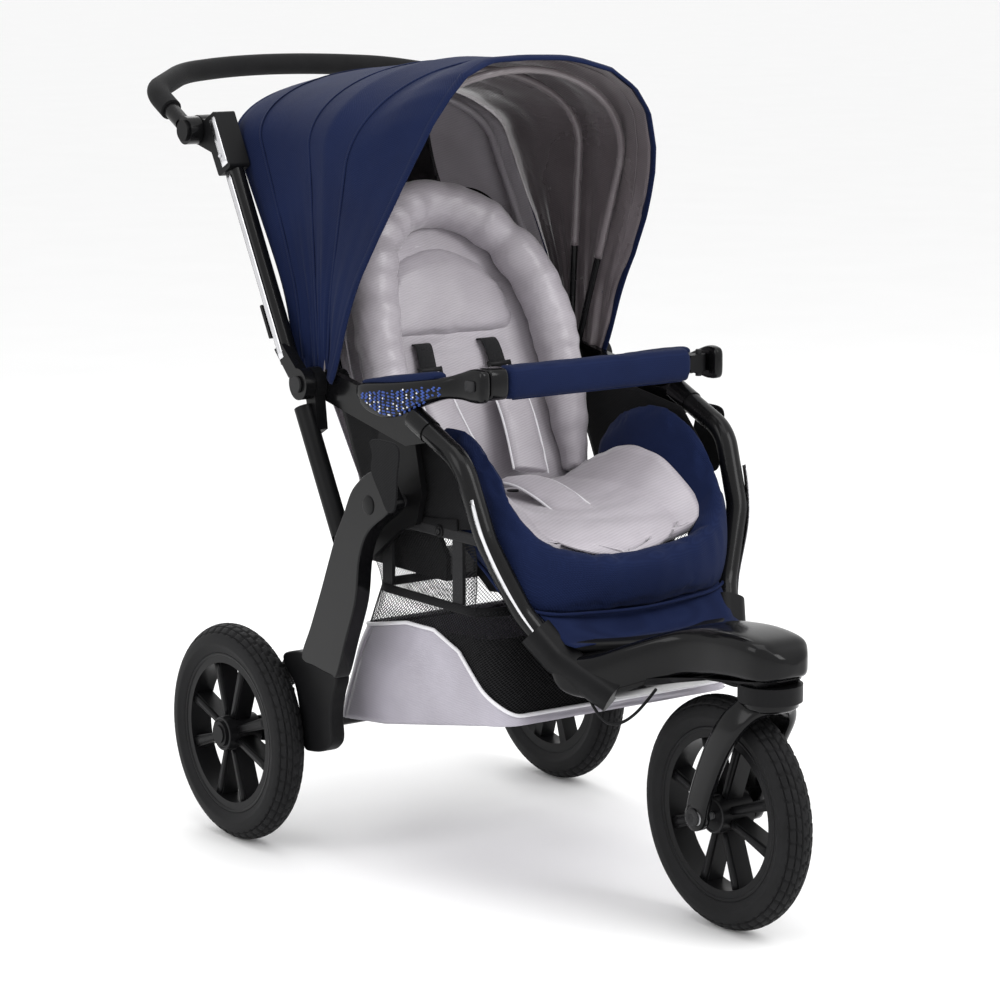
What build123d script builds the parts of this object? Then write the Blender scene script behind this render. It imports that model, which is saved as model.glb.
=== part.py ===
"""Three-wheel folding pushchair, built as separate parts around one shared frame.

Axes: +X to the child's left, +Y to the rear (handle end), +Z up, floor at Z = 0.
The origin is on the floor under the middle of the bounding box. Units are millimetres.
"""
from math import atan2, cos, degrees, radians, sin
import os

from build123d import *

# ---------------------------------------------------------------- driving dimensions
# wheels
WHEEL_R = 148.5            # 12 inch pneumatic tyre, 297 mm across
TYRE_WIDTH = 45.0
TYRE_SECTION_R = TYRE_WIDTH / 2
TYRE_AIR_R = 18.0
BEAD_R = 109.0             # where the tyre wall meets the rim edge
RIM_INNER_R = 96.0
RIM_WIDTH = 32.0
HUB_R = 23.0
HUB_LENGTH = 50.0
AXLE_R = 5.0
BEARING_R = 13.0
BEARING_LENGTH = 8.0
RUNNING_GAP = 0.05
SPOKE_PAIRS = 4
TRACK = 543.0
WHEELBASE = 715.0
REAR_AXLE_Y = 272.0
FRONT_AXLE_Y = REAR_AXLE_Y - WHEELBASE
AXLE_Z = WHEEL_R
WHEEL_X = TRACK / 2

# Sizes below are drawn in a working frame; the written parts are moved along Y so that the
# origin comes under the middle of the whole pushchair's box.
REARMOST_Y = 614.0         # back of the handle grip
FRAME_SHIFT_Y = -(FRONT_AXLE_Y - WHEEL_R + REARMOST_Y) / 2

# main pivots, seen from the side (Y, Z)
HUB_YZ = (139.0, 639.0)    # canopy hub and handle hinge
LEG_PIVOT_YZ = (-38.0, 505.0)
RECLINE_YZ = (62.0, 455.0)
LEGREST_YZ = (-112.0, 424.0)
SWIVEL_Y = -521.0

# side layers, measured out from the middle
PAN_FLANGE = (180.0, 187.0)
SIDE_PLATE = (199.5, 207.5)
ARM = (208.0, 219.0)
LEG_LAYER = (219.5, 253.5)
LEG_COVER = (254.5, 260.5)
TUBE_X = 240.0
TUBE_R = 13.0
TUBE_WALL = 1.6
PIN_R = 6.0

# handle line: the handle tube and the lower strut share it
LINE_Z0 = 417.0
LINE_Y0 = 41.0
LINE_Z1 = 914.0
LINE_Y1 = 313.0
HANDLE_AXIS_YZ = (377.0, 958.0)
GRIP_R = 15.0
BAR_R = 11.0

# seat and backrest
BACK_TILT = 22.3           # degrees from upright
BACK_LENGTH = 470.0
BACK_HALF = 165.0
SEAT_HALF = 150.0

# canopy
CANOPY_HALF = 221.5
CANOPY_SKIN = 3.0
BOW_R = 4.5


# ---------------------------------------------------------------- small helpers
def line_point(z):
    """Point (Y, Z) of the handle line at height z."""
    slope = (LINE_Y1 - LINE_Y0) / (LINE_Z1 - LINE_Z0)
    return (LINE_Y0 + (z - LINE_Z0) * slope, z)


LINE_ANGLE = degrees(atan2(LINE_Z1 - LINE_Z0, LINE_Y1 - LINE_Y0))
ALONG = (cos(radians(LINE_ANGLE)), sin(radians(LINE_ANGLE)))
BEHIND = (ALONG[1], -ALONG[0])


def shift(point, along=0.0, behind=0.0):
    """Move a side point along the handle line and square to it, to the rear."""
    return (point[0] + along * ALONG[0] + behind * BEHIND[0],
            point[1] + along * ALONG[1] + behind * BEHIND[1])


def side_plate(points, x0, x1, corner=0.0):
    """Plate with an outline in the side view, from x0 to x1."""
    outline = make_face(Polyline(*points, close=True))
    if corner:
        outline = fillet(outline.vertices(), corner)
    low, high = min(x0, x1), max(x0, x1)
    return extrude(Plane.YZ.offset(low) * outline, high - low)


def x_rod(yz, x0, x1, radius):
    """Round bar along X."""
    low, high = min(x0, x1), max(x0, x1)
    return extrude(Plane((low, yz[0], yz[1]), x_dir=(0, 1, 0), z_dir=(1, 0, 0)) * Circle(radius),
                   high - low)


def z_rod(x, y, z0, z1, radius):
    """Round bar along Z."""
    return extrude(Plane((x, y, z0)) * Circle(radius), z1 - z0)


def block(x0, x1, y0, y1, z0, z1, corner=0.0):
    """Box between two corners, with rounded edges if corner is given."""
    size = (abs(x1 - x0), abs(y1 - y0), abs(z1 - z0))
    solid = Pos((x0 + x1) / 2, (y0 + y1) / 2, (z0 + z1) / 2) * Box(*size)
    if corner:
        solid = fillet(solid.edges(), corner)
    return solid


def rod(path, radius):
    """Round bar swept along a path."""
    start = Plane(origin=path @ 0, z_dir=path % 0)
    return sweep(start * Circle(radius), path=path)


def pipe(path, radius, wall):
    """Hollow round tube swept along a path."""
    start = Plane(origin=path @ 0, z_dir=path % 0)
    return sweep(start * (Circle(radius) - Circle(radius - wall)), path=path)


def mirrored(solid):
    """The same piece on the other side of the pushchair."""
    return mirror(solid, about=Plane.YZ)


def both(solid):
    """A piece and its mirror image."""
    return [solid, mirrored(solid)]


def sections(rows):
    """Loft through upright sections square to Y: (y, half width, z low, z high, corner)."""
    faces = []
    for y, half, low, high, corner in rows:
        plane = Plane((0, y, (low + high) / 2), x_dir=(1, 0, 0), z_dir=(0, -1, 0))
        faces.append(plane * RectangleRounded(2 * half, high - low, corner))
    return loft(faces, ruled=True)


# ---------------------------------------------------------------- wheels
def wheel_parts(x, y, capped):
    """One spoked wheel with its axis along X: rim with bearings, tyre, cap."""
    ring_r = WHEEL_R - TYRE_SECTION_R
    section = Plane.XZ * Pos(0, ring_r)
    tyre_face = section * (Circle(TYRE_SECTION_R) - Circle(TYRE_AIR_R))
    tyre = revolve(tyre_face, axis=Axis.X)
    tyre -= x_rod((0, 0), -TYRE_WIDTH, TYRE_WIDTH, BEAD_R)

    channel = Plane.XZ * Pos(0, (RIM_INNER_R + BEAD_R) / 2) * Rectangle(RIM_WIDTH, BEAD_R - RIM_INNER_R)
    rim = revolve(channel, axis=Axis.X)
    rim -= revolve(section * Circle(TYRE_AIR_R), axis=Axis.X)
    hub = x_rod((0, 0), -HUB_LENGTH / 2, HUB_LENGTH / 2, HUB_R)
    rim += hub
    for pair in range(SPOKE_PAIRS):
        middle = 360 / SPOKE_PAIRS * pair
        for side in (-1, 1):
            inner = radians(middle + side * 20)
            outer = radians(middle + side * 19)
            along = (cos(outer), sin(outer))
            root = (cos(inner) * (HUB_R - 4), sin(inner) * (HUB_R - 4))
            tip = (along[0] * (RIM_INNER_R + 2), along[1] * (RIM_INNER_R + 2))
            across = (-along[1], along[0])
            outline = [(root[0] - across[0] * 5, root[1] - across[1] * 5),
                       (tip[0] - across[0] * 8, tip[1] - across[1] * 8),
                       (tip[0] + across[0] * 8, tip[1] + across[1] * 8),
                       (root[0] + across[0] * 5, root[1] + across[1] * 5)]
            rim += side_plate(outline, -11, 13)
    rim -= x_rod((0, 0), -HUB_LENGTH, HUB_LENGTH, AXLE_R + 2)
    bearings = []
    for side in (-1, 1):
        face = side * HUB_LENGTH / 2
        rim -= x_rod((0, 0), face, face - side * BEARING_LENGTH, BEARING_R)
        ring = x_rod((0, 0), face, face - side * BEARING_LENGTH, BEARING_R)
        bearings.append(ring - x_rod((0, 0), -HUB_LENGTH, HUB_LENGTH, AXLE_R + RUNNING_GAP))
    place = Pos(x, y, AXLE_Z)
    parts = {"rim": [place * rim] + [place * b for b in bearings],
             "tyre": [place * tyre]}
    if capped:
        out = 1 if x > 0 else -1
        start = out * HUB_LENGTH / 2
        cap = x_rod((0, 0), start, start + out * 4.5, 17) + x_rod((0, 0), start, start + out * 6.5, 12)
        cap -= x_rod((0, 0), start, start + out * 2, AXLE_R + 2)
        parts["hub_cap"] = [place * cap]
    return parts


# ---------------------------------------------------------------- rear frame
STRUT_END = line_point(432.0)


def strut_clearance():
    """Space that the lower strut's end needs inside the rear leg, open to the rear and up."""
    corner = shift(STRUT_END, along=-15, behind=-16)
    up = shift(corner, along=400)
    far = shift(up, behind=400)
    low = shift(corner, behind=400)
    return side_plate([corner, up, far, low], 200, 254)


def rear_leg():
    """Moulded rear leg: pivot head, tapering body and the socket for the suspension housing."""
    outline = [(-76, 498), (-80, 528), (-58, 554), (4, 556), (38, 506), (64, 458), (126, 340),
               (148, 292), (98, 292), (50, 366), (0, 440), (-40, 472)]
    body = side_plate(outline, *LEG_LAYER, corner=9) - strut_clearance()
    return body - x_rod(LEG_PIVOT_YZ, 210, 262, 8 + RUNNING_GAP)


def rear_leg_cover():
    """Outer face of the rear leg, which laps over the end of the strut."""
    outline = [(-70, 500), (-74, 527), (-56, 548), (2, 551), (34, 505), (61, 456), (121, 342),
               (143, 296), (104, 296), (56, 368), (6, 444), (-38, 478)]
    cover = side_plate(outline, LEG_COVER[0] - 1, LEG_COVER[1], corner=8)
    return cover - x_rod(LEG_PIVOT_YZ, 210, 270, 12.5)


SUSPENSION_YZ = (119.0, 170.0)
SUSPENSION_ARM = (222.0, 241.0)
AXLE_TUBE_YZ = (240.0, 152.0)
SPRING_Y = 206.0


def suspension_housing():
    """Lower end of the rear leg: spring casing, cheeks for the trailing arm, gusset for the tube."""
    casing = side_plate([(92, 292), (234, 286), (240, 262), (160, 250), (150, 190), (96, 192)],
                        212.5, 247.5, corner=4)
    cheek = [(96, 194), (96, 168), (106, 152), (130, 152), (146, 172), (150, 194)]
    inner = side_plate(cheek, 212.5, SUSPENSION_ARM[0] - 1)
    outer = side_plate(cheek, SUSPENSION_ARM[1] + 1, 247.5)
    gusset = side_plate([(96, 288), (150, 288), (262, 186), (262, 136), (236, 130), (96, 158)],
                        204.5, 212.5, corner=6)
    housing = casing + inner + outer + gusset
    housing -= x_rod(AXLE_TUBE_YZ, 204, 213, 11)
    return housing - x_rod(SUSPENSION_YZ, 205, 250, PIN_R)


def rear_axle_tube():
    """Cross tube between the two suspension housings."""
    return pipe(Line((-212.5, *AXLE_TUBE_YZ), (212.5, *AXLE_TUBE_YZ)), 11, 2)


def suspension_arm():
    """Trailing arm with the stub axle that carries the wheel."""
    axle_yz = (REAR_AXLE_Y, AXLE_Z)
    arm = side_plate([(SUSPENSION_YZ[0] - 4, SUSPENSION_YZ[1] - 14), (REAR_AXLE_Y, AXLE_Z - 17),
                      (REAR_AXLE_Y + 8, AXLE_Z + 16), (SPRING_Y - 14, AXLE_Z + 31),
                      (SUSPENSION_YZ[0] - 2, SUSPENSION_YZ[1] + 14)], *SUSPENSION_ARM, corner=5)
    arm += x_rod(axle_yz, SUSPENSION_ARM[0], SUSPENSION_ARM[1] + 4, 16)
    arm += x_rod(axle_yz, SUSPENSION_ARM[0], WHEEL_X + HUB_LENGTH / 2 + 1, AXLE_R)
    return arm - x_rod(SUSPENSION_YZ, 205, 250, PIN_R + RUNNING_GAP)


def suspension_spring():
    """Ribbed rubber spring between the trailing arm and the casing."""
    low, high = AXLE_Z + 34.0, 254.0
    x = sum(SUSPENSION_ARM) / 2
    spring = z_rod(x, SPRING_Y, low, high, 6.5)
    ribs = 6
    for rib in range(ribs):
        z = low + (high - low) * (rib + 0.5) / ribs
        spring += z_rod(x, SPRING_Y, z - 3, z + 3, 9)
    return spring


def brake_pedal():
    """Foot bar that turns on the rear axle tube."""
    y, z = AXLE_TUBE_YZ
    pedal = block(-62, 62, y + 16, y + 62, z - 2, z + 7, corner=3)
    for x in (-50, 34):
        ring = x_rod(AXLE_TUBE_YZ, x, x + 16, 17) + block(x, x + 16, y, y + 26, z - 4, z + 5)
        pedal += ring
    return pedal - x_rod(AXLE_TUBE_YZ, -80, 80, 11 + 0.08)


# ---------------------------------------------------------------- chassis
def front_leg_path():
    """Centre line of the left front leg, from the side arm to the front housing."""
    points = [(212, -106, 603), (212, -176, 573), (203, -214, 478), (166, -238, 388),
              (139, -276, 334), (108, -324, 297)]
    return FilletPolyline(*points, radius=[55, 70, 70, 45])


def front_leg_solid(radius):
    """Front leg as a full bar of the given radius."""
    return rod(front_leg_path(), radius)


def socket_path():
    """Centre line of the moulded connector at the foot of a front leg."""
    return FilletPolyline((156, -252, 365), (139, -276, 334), (98, -338, 289), radius=25)


ARM_BOSS = front_leg_path() @ 0


def side_arm():
    """Flat arm from the hub forward to the top of the front leg."""
    y, z = HUB_YZ
    outline = [(y + 16, z - 16), (y + 18, z + 8), (y + 2, z + 22), (-62, 625), (-104, 614),
               (-106, 590), (-60, 580), (y - 20, z - 24)]
    arm = side_plate(outline, *ARM, corner=6)
    start = front_leg_path()
    direction = start % 0
    back = (ARM_BOSS.X - direction.X * 36, ARM_BOSS.Y - direction.Y * 36, ARM_BOSS.Z - direction.Z * 36)
    boss = extrude(Plane(origin=back, z_dir=direction) * Circle(15.5), 36)
    return arm + boss - front_leg_solid(14) - x_rod(HUB_YZ, 190, 230, PIN_R + RUNNING_GAP)


def hinge_plate():
    """Inner side plate: joins the arm, the rear leg pivot and the foot of the lower strut."""
    end = STRUT_END
    outline = [(-62, 596), (14, 600), (24, 560), (end[0] + 16, end[1] + 22), (end[0] + 18, end[1] - 14),
               (end[0] - 4, end[1] - 20), (-30, 466), (-66, 478), (-80, 520)]
    plate = side_plate(outline, *SIDE_PLATE, corner=7)
    return plate - x_rod(LEG_PIVOT_YZ, 190, 230, 8) - x_rod(STRUT_FIX, 190, 230, 5)


STRUT_FIX = shift(STRUT_END, along=14)
KNUCKLE_R = 21.0
STRUT_KNUCKLE = (220.0, 236.0)
HANDLE_KNUCKLE = (237.0, 253.0)


def knuckle(layer, direction):
    """Hinge eye at the hub with a neck that leads to a tube on the handle line."""
    eye = x_rod(HUB_YZ, *layer, KNUCKLE_R)
    start = shift(HUB_YZ, along=direction * 16, behind=-8)
    neck = [start, shift(start, behind=24), shift(HUB_YZ, along=direction * 62, behind=30),
            shift(HUB_YZ, along=direction * 62, behind=10)]
    return eye + side_plate(neck, *layer)


def tube_on_line(z0, z1):
    """Hollow tube of the handle line between two heights."""
    low, high = line_point(z0), line_point(z1)
    path = Line((TUBE_X, *low), (TUBE_X, *high))
    return pipe(path, TUBE_R, TUBE_WALL)


def full_on_line(z0, z1, radius):
    """The same stretch as a full bar."""
    low, high = line_point(z0), line_point(z1)
    return rod(Line((TUBE_X, *low), (TUBE_X, *high)), radius)


def lower_strut():
    """Strut below the hub, on the handle line, with its hinge eye and foot plug."""
    strut = tube_on_line(STRUT_END[1], 607)
    strut += full_on_line(STRUT_END[1], STRUT_END[1] + 34, TUBE_R - TUBE_WALL)
    strut += knuckle(STRUT_KNUCKLE, -1)
    strut -= x_rod(STRUT_FIX, 210, 260, 5)
    return strut - x_rod(HUB_YZ, 210, 260, PIN_R + RUNNING_GAP)


def pivot_pins():
    """Hub pin, rear leg pin and strut bolt of one side."""
    hub = x_rod(HUB_YZ, 176, 256, PIN_R) + x_rod(HUB_YZ, 254, 257, 11)
    leg = x_rod(LEG_PIVOT_YZ, 180, 261, 8) + x_rod(LEG_PIVOT_YZ, 254.5, 261.5, 12)
    bolt = x_rod(STRUT_FIX, 197, 250, 5)
    return [hub, leg, bolt]


def leg_socket():
    """Moulded connector between the front leg and the front housing."""
    path = socket_path()
    start = Plane(origin=path @ 0, z_dir=path % 0)
    sleeve = sweep(start * RectangleRounded(38, 42, 15), path=path)
    return sleeve - front_leg_solid(14)


HOUSING_ROWS = [(-553, 26, 336, 368, 14), (-536, 41, 326, 383, 17), (-490, 46, 324, 386, 18),
                (-440, 47, 320, 381, 18), (-395, 60, 310, 371, 18), (-352, 92, 300, 354, 16),
                (-318, 120, 292, 334, 14)]
SHELL_WALL = 4.0


def housing_outer():
    """Whole outside form of the front housing."""
    return sections(HOUSING_ROWS)


def housing_inner():
    """Hollow inside the front housing."""
    rows = []
    for index, (y, half, low, high, corner) in enumerate(HOUSING_ROWS):
        if index == 0:
            y += SHELL_WALL
        if index == len(HOUSING_ROWS) - 1:
            y -= SHELL_WALL
        rows.append((y, half - SHELL_WALL, low + SHELL_WALL, high - SHELL_WALL, corner - SHELL_WALL))
    return sections(rows)


def below_parting():
    """Half space under the housing's parting line, which falls to the rear."""
    return side_plate([(-600, 345), (-300, 306), (-300, 200), (-600, 200)], -200, 200)


CUP_R = 40.0
CUP_Z = (306.5, 324.0)
STEM_R = 9.0
BUSH_R = 14.0
STEM_TOP = 362.0


def front_housing_shell():
    """Glossy upper cover of the front housing."""
    shell = housing_outer() - housing_inner() - below_parting()
    for socket in both(leg_socket_full()):
        shell -= socket
    shell -= block(-9, 9, -560, -540, 346, 364)
    return shell


def front_housing_base():
    """Lower body of the front housing: keel, swivel cup, bush seat and grille slots."""
    base = (housing_outer() & below_parting()) - housing_cavity()
    base += z_rod(0, SWIVEL_Y, CUP_Z[0], CUP_Z[1] + 4, CUP_R)
    base += z_rod(0, SWIVEL_Y, CUP_Z[0], STEM_TOP - 4, BUSH_R + 5)
    base -= z_rod(0, SWIVEL_Y, CUP_Z[0] - 1, STEM_TOP, BUSH_R)
    for row in range(5):
        y = -424 + row * 17
        base -= block(-34, 34, y, y + 7, 280, 345)
    for socket in both(leg_socket_full()):
        base -= socket
    return base


def housing_cavity():
    """Hollow of the lower body, kept clear of the swivel bush."""
    return housing_inner() & side_plate([(-500, 328), (-322, 304), (-322, 360), (-500, 360)], -150, 150)


def leg_socket_full():
    """Leg connector without its bore, for cutting its seat in the housing."""
    path = socket_path()
    start = Plane(origin=path @ 0, z_dir=path % 0)
    return sweep(start * RectangleRounded(38, 42, 15), path=path)


def steering_bush():
    """Bush that the fork stem turns in."""
    bush = z_rod(0, SWIVEL_Y, CUP_Z[0] + 1, STEM_TOP - 4, BUSH_R)
    return bush - z_rod(0, SWIVEL_Y, CUP_Z[0] - 1, STEM_TOP, STEM_R + RUNNING_GAP)


def footrest_strip():
    """Curved strip across the front legs where the child's feet rest."""
    arc = ThreePointArc((-136, -262, 346), (0, -318, 346), (136, -262, 346))
    start = Plane(origin=arc @ 0, z_dir=arc % 0, x_dir=(0, 0, 1))
    strip = sweep(start * RectangleRounded(13, 26, 5), path=arc)
    for socket in both(leg_socket_full()):
        strip -= socket
    for leg in both(front_leg_solid(14)):
        strip -= leg
    return strip - housing_outer()


def fork():
    """One-piece arched fork with trailing legs."""
    crown_y = (-546, -508)
    arch = Plane((0, crown_y[1], 0), x_dir=(1, 0, 0), z_dir=(0, -1, 0))
    outer = arch * Pos(0, 256) * RectangleRounded(96, 98, 38)
    inner = arch * Pos(0, 240) * RectangleRounded(64, 94, 26)
    crown = extrude(outer - inner, crown_y[1] - crown_y[0])
    crown -= block(-60, 60, -560, -500, 190, 262)
    leg_outline = [(-546, 284), (-538, 262), (-462, 146), (-452, 134), (-434, 132), (-424, 146),
                   (-430, 164), (-508, 284)]
    leg = side_plate(leg_outline, 32, 48, corner=6)
    fork_body = crown + leg + mirrored(leg)
    fork_body += z_rod(0, SWIVEL_Y, 303, 306, 26)
    fork_body -= x_rod((FRONT_AXLE_Y, AXLE_Z), -60, 60, AXLE_R)
    return fork_body


def fork_stem():
    """Steering stem on top of the fork."""
    return z_rod(0, SWIVEL_Y, 306, STEM_TOP - 2, STEM_R)


def front_axle():
    """Front axle bolt with its two heads."""
    yz = (FRONT_AXLE_Y, AXLE_Z)
    return x_rod(yz, -48, 48, AXLE_R) + x_rod(yz, -51, -48, 9) + x_rod(yz, 48, 51, 9)


# ---------------------------------------------------------------- seat, basket, harness
def seat_pan():
    """Seat board with side flanges that hang on the rear leg pins and carry the recline hinge."""
    pan = block(-187, 187, -104, 56, 408, 416)
    flange_outline = [(-104, 408), (84, 408), (84, 470), (40, 474), (-6, 526), (-66, 526), (-82, 470),
                      (-104, 440)]
    flange = side_plate(flange_outline, *PAN_FLANGE, corner=6)
    flange -= x_rod(LEG_PIVOT_YZ, 170, 200, 8)
    flange -= x_rod(RECLINE_YZ, 170, 200, 5.5)
    lug = side_plate([(LEGREST_YZ[0] - 9, 414), (LEGREST_YZ[0] - 9, 433), (LEGREST_YZ[0] + 12, 433),
                      (LEGREST_YZ[0] + 20, 414)], 128, 136)
    lug -= x_rod(LEGREST_YZ, 120, 140, 4)
    return pan + flange + mirrored(flange) + lug + mirrored(lug)


def seat_pins():
    """Pins of the backrest and the legrest."""
    return both(x_rod(RECLINE_YZ, 166, 187, 5.5)) + both(x_rod(LEGREST_YZ, 126, 147, 4))


def seat_cushion():
    """Padded seat."""
    return block(-SEAT_HALF + 3, SEAT_HALF - 3, -100, 48, 434, 462, corner=9)


def seat_rim():
    """Raised padded side of the seat."""
    outline = [(-104, 438), (-108, 476), (-150, 496), (-196, 520), (-186, 566), (-146, 600), (-58, 603),
               (0, 575), (22, 520), (22, 436), (-60, 434)]
    return side_plate(outline, SEAT_HALF + 0.5, 178.5, corner=6)


def side_panel():
    """Fabric side wall between the seat and the side arm."""
    outline = [(-176, 486), (-150, 560), (-110, 600), (40, 622), (96, 600), (96, 530), (-90, 530)]
    return side_plate(outline, 190.5, 193.5, corner=6)


def leg_panel():
    """Fabric panel that hangs under the seat front, behind the child's legs."""
    return side_plate([(-216, 372), (-219, 374.5), (-300, 358.5), (-300, 355.5)], -112, 112)


def basket():
    """Open fabric basket under the seat."""
    def form(top_y0, top_y1, bottom_y0, bottom_y1, half_top, half_bottom, z0, z1):
        low = Plane((0, (bottom_y0 + bottom_y1) / 2, z0)) * RectangleRounded(
            2 * half_bottom, bottom_y1 - bottom_y0, 34)
        high = Plane((0, (top_y0 + top_y1) / 2, z1)) * RectangleRounded(
            2 * half_top, top_y1 - top_y0, 18)
        return loft([low, high])
    outer = form(-190, 52, -256, 146, 195.5, 168, 188, 384)
    inner = form(-187, 49, -253, 143, 192.5, 165, 191, 390)
    return outer - inner


def basket_rail():
    """Bar along each side that the basket's mesh hangs from."""
    bar = block(189.5, 196.5, -196, 40, 466, 480, corner=2.5)
    strap = block(189.5, 194.5, -150, -128, 385, 466)
    strap_rear = block(189.5, 194.5, 8, 30, 385, 466)
    return [bar, strap, strap_rear]


def bumper_bracket():
    """Side bracket that carries the bumper bar and the armrest."""
    rows = [(36, 211.5, 25, 612, 646), (-40, 211, 27, 604, 655), (-108, 199, 25, 626, 664),
            (-150, 181, 21, 640, 672)]
    faces = []
    for y, x, width, low, high in rows:
        plane = Plane((x, y, (low + high) / 2), x_dir=(1, 0, 0), z_dir=(0, -1, 0))
        faces.append(plane * RectangleRounded(width, high - low, 6))
    beam = loft(faces)
    beam += block(160, 190, -196, -146, 646, 689, corner=5)
    beam -= block(157, 181.5, -200, -156, 650, 685)
    beam -= block(179, 191, GATE_XY[1] - 4, GATE_XY[1] + 4, 664, 671)
    beam -= block(186.5, 191, GATE_XY[1] - 10, GATE_XY[1] + 10, 659, 676)
    return beam - side_arm_full()


def side_arm_full():
    """Side arm without its bore, for cutting its seat."""
    return side_arm() + x_rod(HUB_YZ, ARM[0], ARM[1], PIN_R + 1)


def armrest_cover():
    """Fabric pad on top of the bracket."""
    rows = [(30, 211, 24, 647.5, 660), (-40, 210, 26, 656.5, 670), (-104, 198, 24, 666, 678)]
    faces = []
    for y, x, width, low, high in rows:
        plane = Plane((x, y, (low + high) / 2), x_dir=(1, 0, 0), z_dir=(0, -1, 0))
        faces.append(plane * RectangleRounded(width, high - low, 5))
    return loft(faces)


GATE_XY = (170.0, -171.5)


def bumper_bar():
    """Bumper bar with its hinge eye on the left and its tongue on the right."""
    x, y = GATE_XY
    bar = block(-158, 158, y - 9, y + 9, 656, 679, corner=6)
    bar += block(150, x, y - 9, y + 9, 656, 679) + z_rod(x, y, 656, 679, 9)
    bar += block(-176, -150, y - 9, y + 9, 656, 679)
    bar -= z_rod(x, y, 640, 700, 4 + RUNNING_GAP)
    return bar - block(-177, -168, y - 4, y + 4, 664, 671)


def bumper_cover():
    """Fabric sleeve over the bumper bar."""
    y = GATE_XY[1]
    cover = block(-146, 146, y - 17, y + 17, 647, 689, corner=10)
    return cover - block(-147, 147, y - 9, y + 9, 656, 679)


def bumper_pin():
    """Hinge pin of the bumper bar."""
    return z_rod(*GATE_XY, 650, 685, 4)


def bumper_release():
    """Push button on the free end of the bumper, on the right bracket."""
    y = GATE_XY[1]
    return block(-194.5, -190.3, y - 9, y + 9, 660, 675, corner=1.5) + block(
        -190.5, -176.5, y - 3.6, y + 3.6, 664.4, 670.6)


def back_point(u, v):
    """Side point (Y, Z) at distance u up the backrest and v out of its face."""
    tilt = radians(BACK_TILT)
    return (RECLINE_YZ[0] + u * sin(tilt) - v * cos(tilt), RECLINE_YZ[1] + u * cos(tilt) + v * sin(tilt))


def back_plane(v):
    """Plane parallel to the backrest, at distance v in front of the hinge line."""
    y, z = back_point(0, v)
    tilt = radians(BACK_TILT)
    return Plane(origin=(0, y, z), x_dir=(1, 0, 0), z_dir=(0, -cos(tilt), sin(tilt)))


def back_outline(half, low, high, corner):
    """Arched outline in the backrest's plane: straight sides and a round top."""
    base = Pos(0, (low + high) / 2) * RectangleRounded(2 * half, high - low, corner)
    return base


def backrest_board():
    """Backrest board with hinge lugs."""
    board = extrude(back_plane(-42) * back_outline(BACK_HALF, 6, BACK_LENGTH - 8, 60), 9)
    for side in (-1, 1):
        x = (168, 178.5) if side > 0 else (-178.5, -168)
        lug = [back_point(-12, -6), back_point(12, -6), back_point(40, -40), back_point(10, -42)]
        inner = (150, 178.5) if side > 0 else (-178.5, -150)
        board += side_plate([back_point(14, -42), back_point(14, -33), back_point(44, -33),
                             back_point(44, -42)], *inner)
        board += side_plate(lug, *x) + x_rod(RECLINE_YZ, x[0], x[1], 12)
    return board - x_rod(RECLINE_YZ, -200, 200, 5.5 + RUNNING_GAP)


def backrest_pad():
    """Padded back cushion."""
    return extrude(back_plane(-32.5) * back_outline(BACK_HALF - 2, 14, BACK_LENGTH - 12, 75), 31)


def head_bolster():
    """Padded ring round the head and shoulders."""
    outer = back_outline(BACK_HALF - 2, 120, BACK_LENGTH - 2, 120)
    inner = Pos(0, 215) * RectangleRounded(230, 420, 100)
    ring = outer - inner
    return extrude(back_plane(-1.2) * ring, 34)


def harness():
    """Shoulder belts, buckle and crotch belt as three pieces."""
    belts = []
    for x in (-57, 57):
        belts.append(extrude(back_plane(-1.2) * Pos(x, 150) * Rectangle(36, 170), 9))
    return belts


def crotch_strap():
    """Crotch belt and pad on the seat."""
    return block(-24, 24, -66, 6, 462.3, 472, corner=3)


def buckle_body():
    """Harness buckle."""
    body = block(-21, 21, -14, 30, 472.3, 488, corner=4)
    return body - z_rod(0, 8, 480, 490, 8.4)


def buckle_button():
    """Release button of the buckle."""
    return z_rod(0, 8, 483, 490.5, 8)


def legrest_board():
    """Hinged board under the front edge of the seat."""
    y, z = LEGREST_YZ
    plan = Pos(0, -171) * RectangleRounded(2 * 142, 102, 44)
    board = extrude(Plane((0, 0, 396)) * plan, 8)
    for side in (-1, 1):
        x = (138, 146) if side > 0 else (-146, -138)
        board += side_plate([(y - 50, 398), (y - 8, z + 6), (y + 6, z + 6), (y + 6, z - 6), (y - 30, 396)],
                            *x)
    return board - x_rod(LEGREST_YZ, -200, 200, 4 + RUNNING_GAP)


LIP_Y = -195.0             # middle of the padded front edge
LIP_HALF = 158.0
LIP_DEPTH = 154.0
LIP_CORNER = 76.0
LIP_WALL = 14.0


def legrest_pad():
    """Padded front edge of the seat, which tips with the legrest."""
    plan = Pos(0, LIP_Y) * RectangleRounded(2 * LIP_HALF, LIP_DEPTH, LIP_CORNER)
    inside = Pos(0, LIP_Y) * RectangleRounded(2 * (LIP_HALF - LIP_WALL), LIP_DEPTH - 2 * LIP_WALL,
                                              LIP_CORNER - LIP_WALL)
    pad = extrude(Plane((0, 0, 434)) * plan, 18)
    skirt = extrude(Plane((0, 0, 388)) * (plan - inside), 46)
    skirt &= block(-LIP_HALF - 5, LIP_HALF + 5, -280, -178, 380, 440)
    return pad + skirt


# ---------------------------------------------------------------- handle
def handle_tube():
    """Handle tube of one side, with the hinge eye at the hub."""
    tube = tube_on_line(664, LINE_Z1 + 20)
    return tube + knuckle(HANDLE_KNUCKLE, 1) - full_on_line(664, LINE_Z1, TUBE_R - TUBE_WALL) \
        - x_rod(HUB_YZ, 210, 260, PIN_R + RUNNING_GAP)


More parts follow.
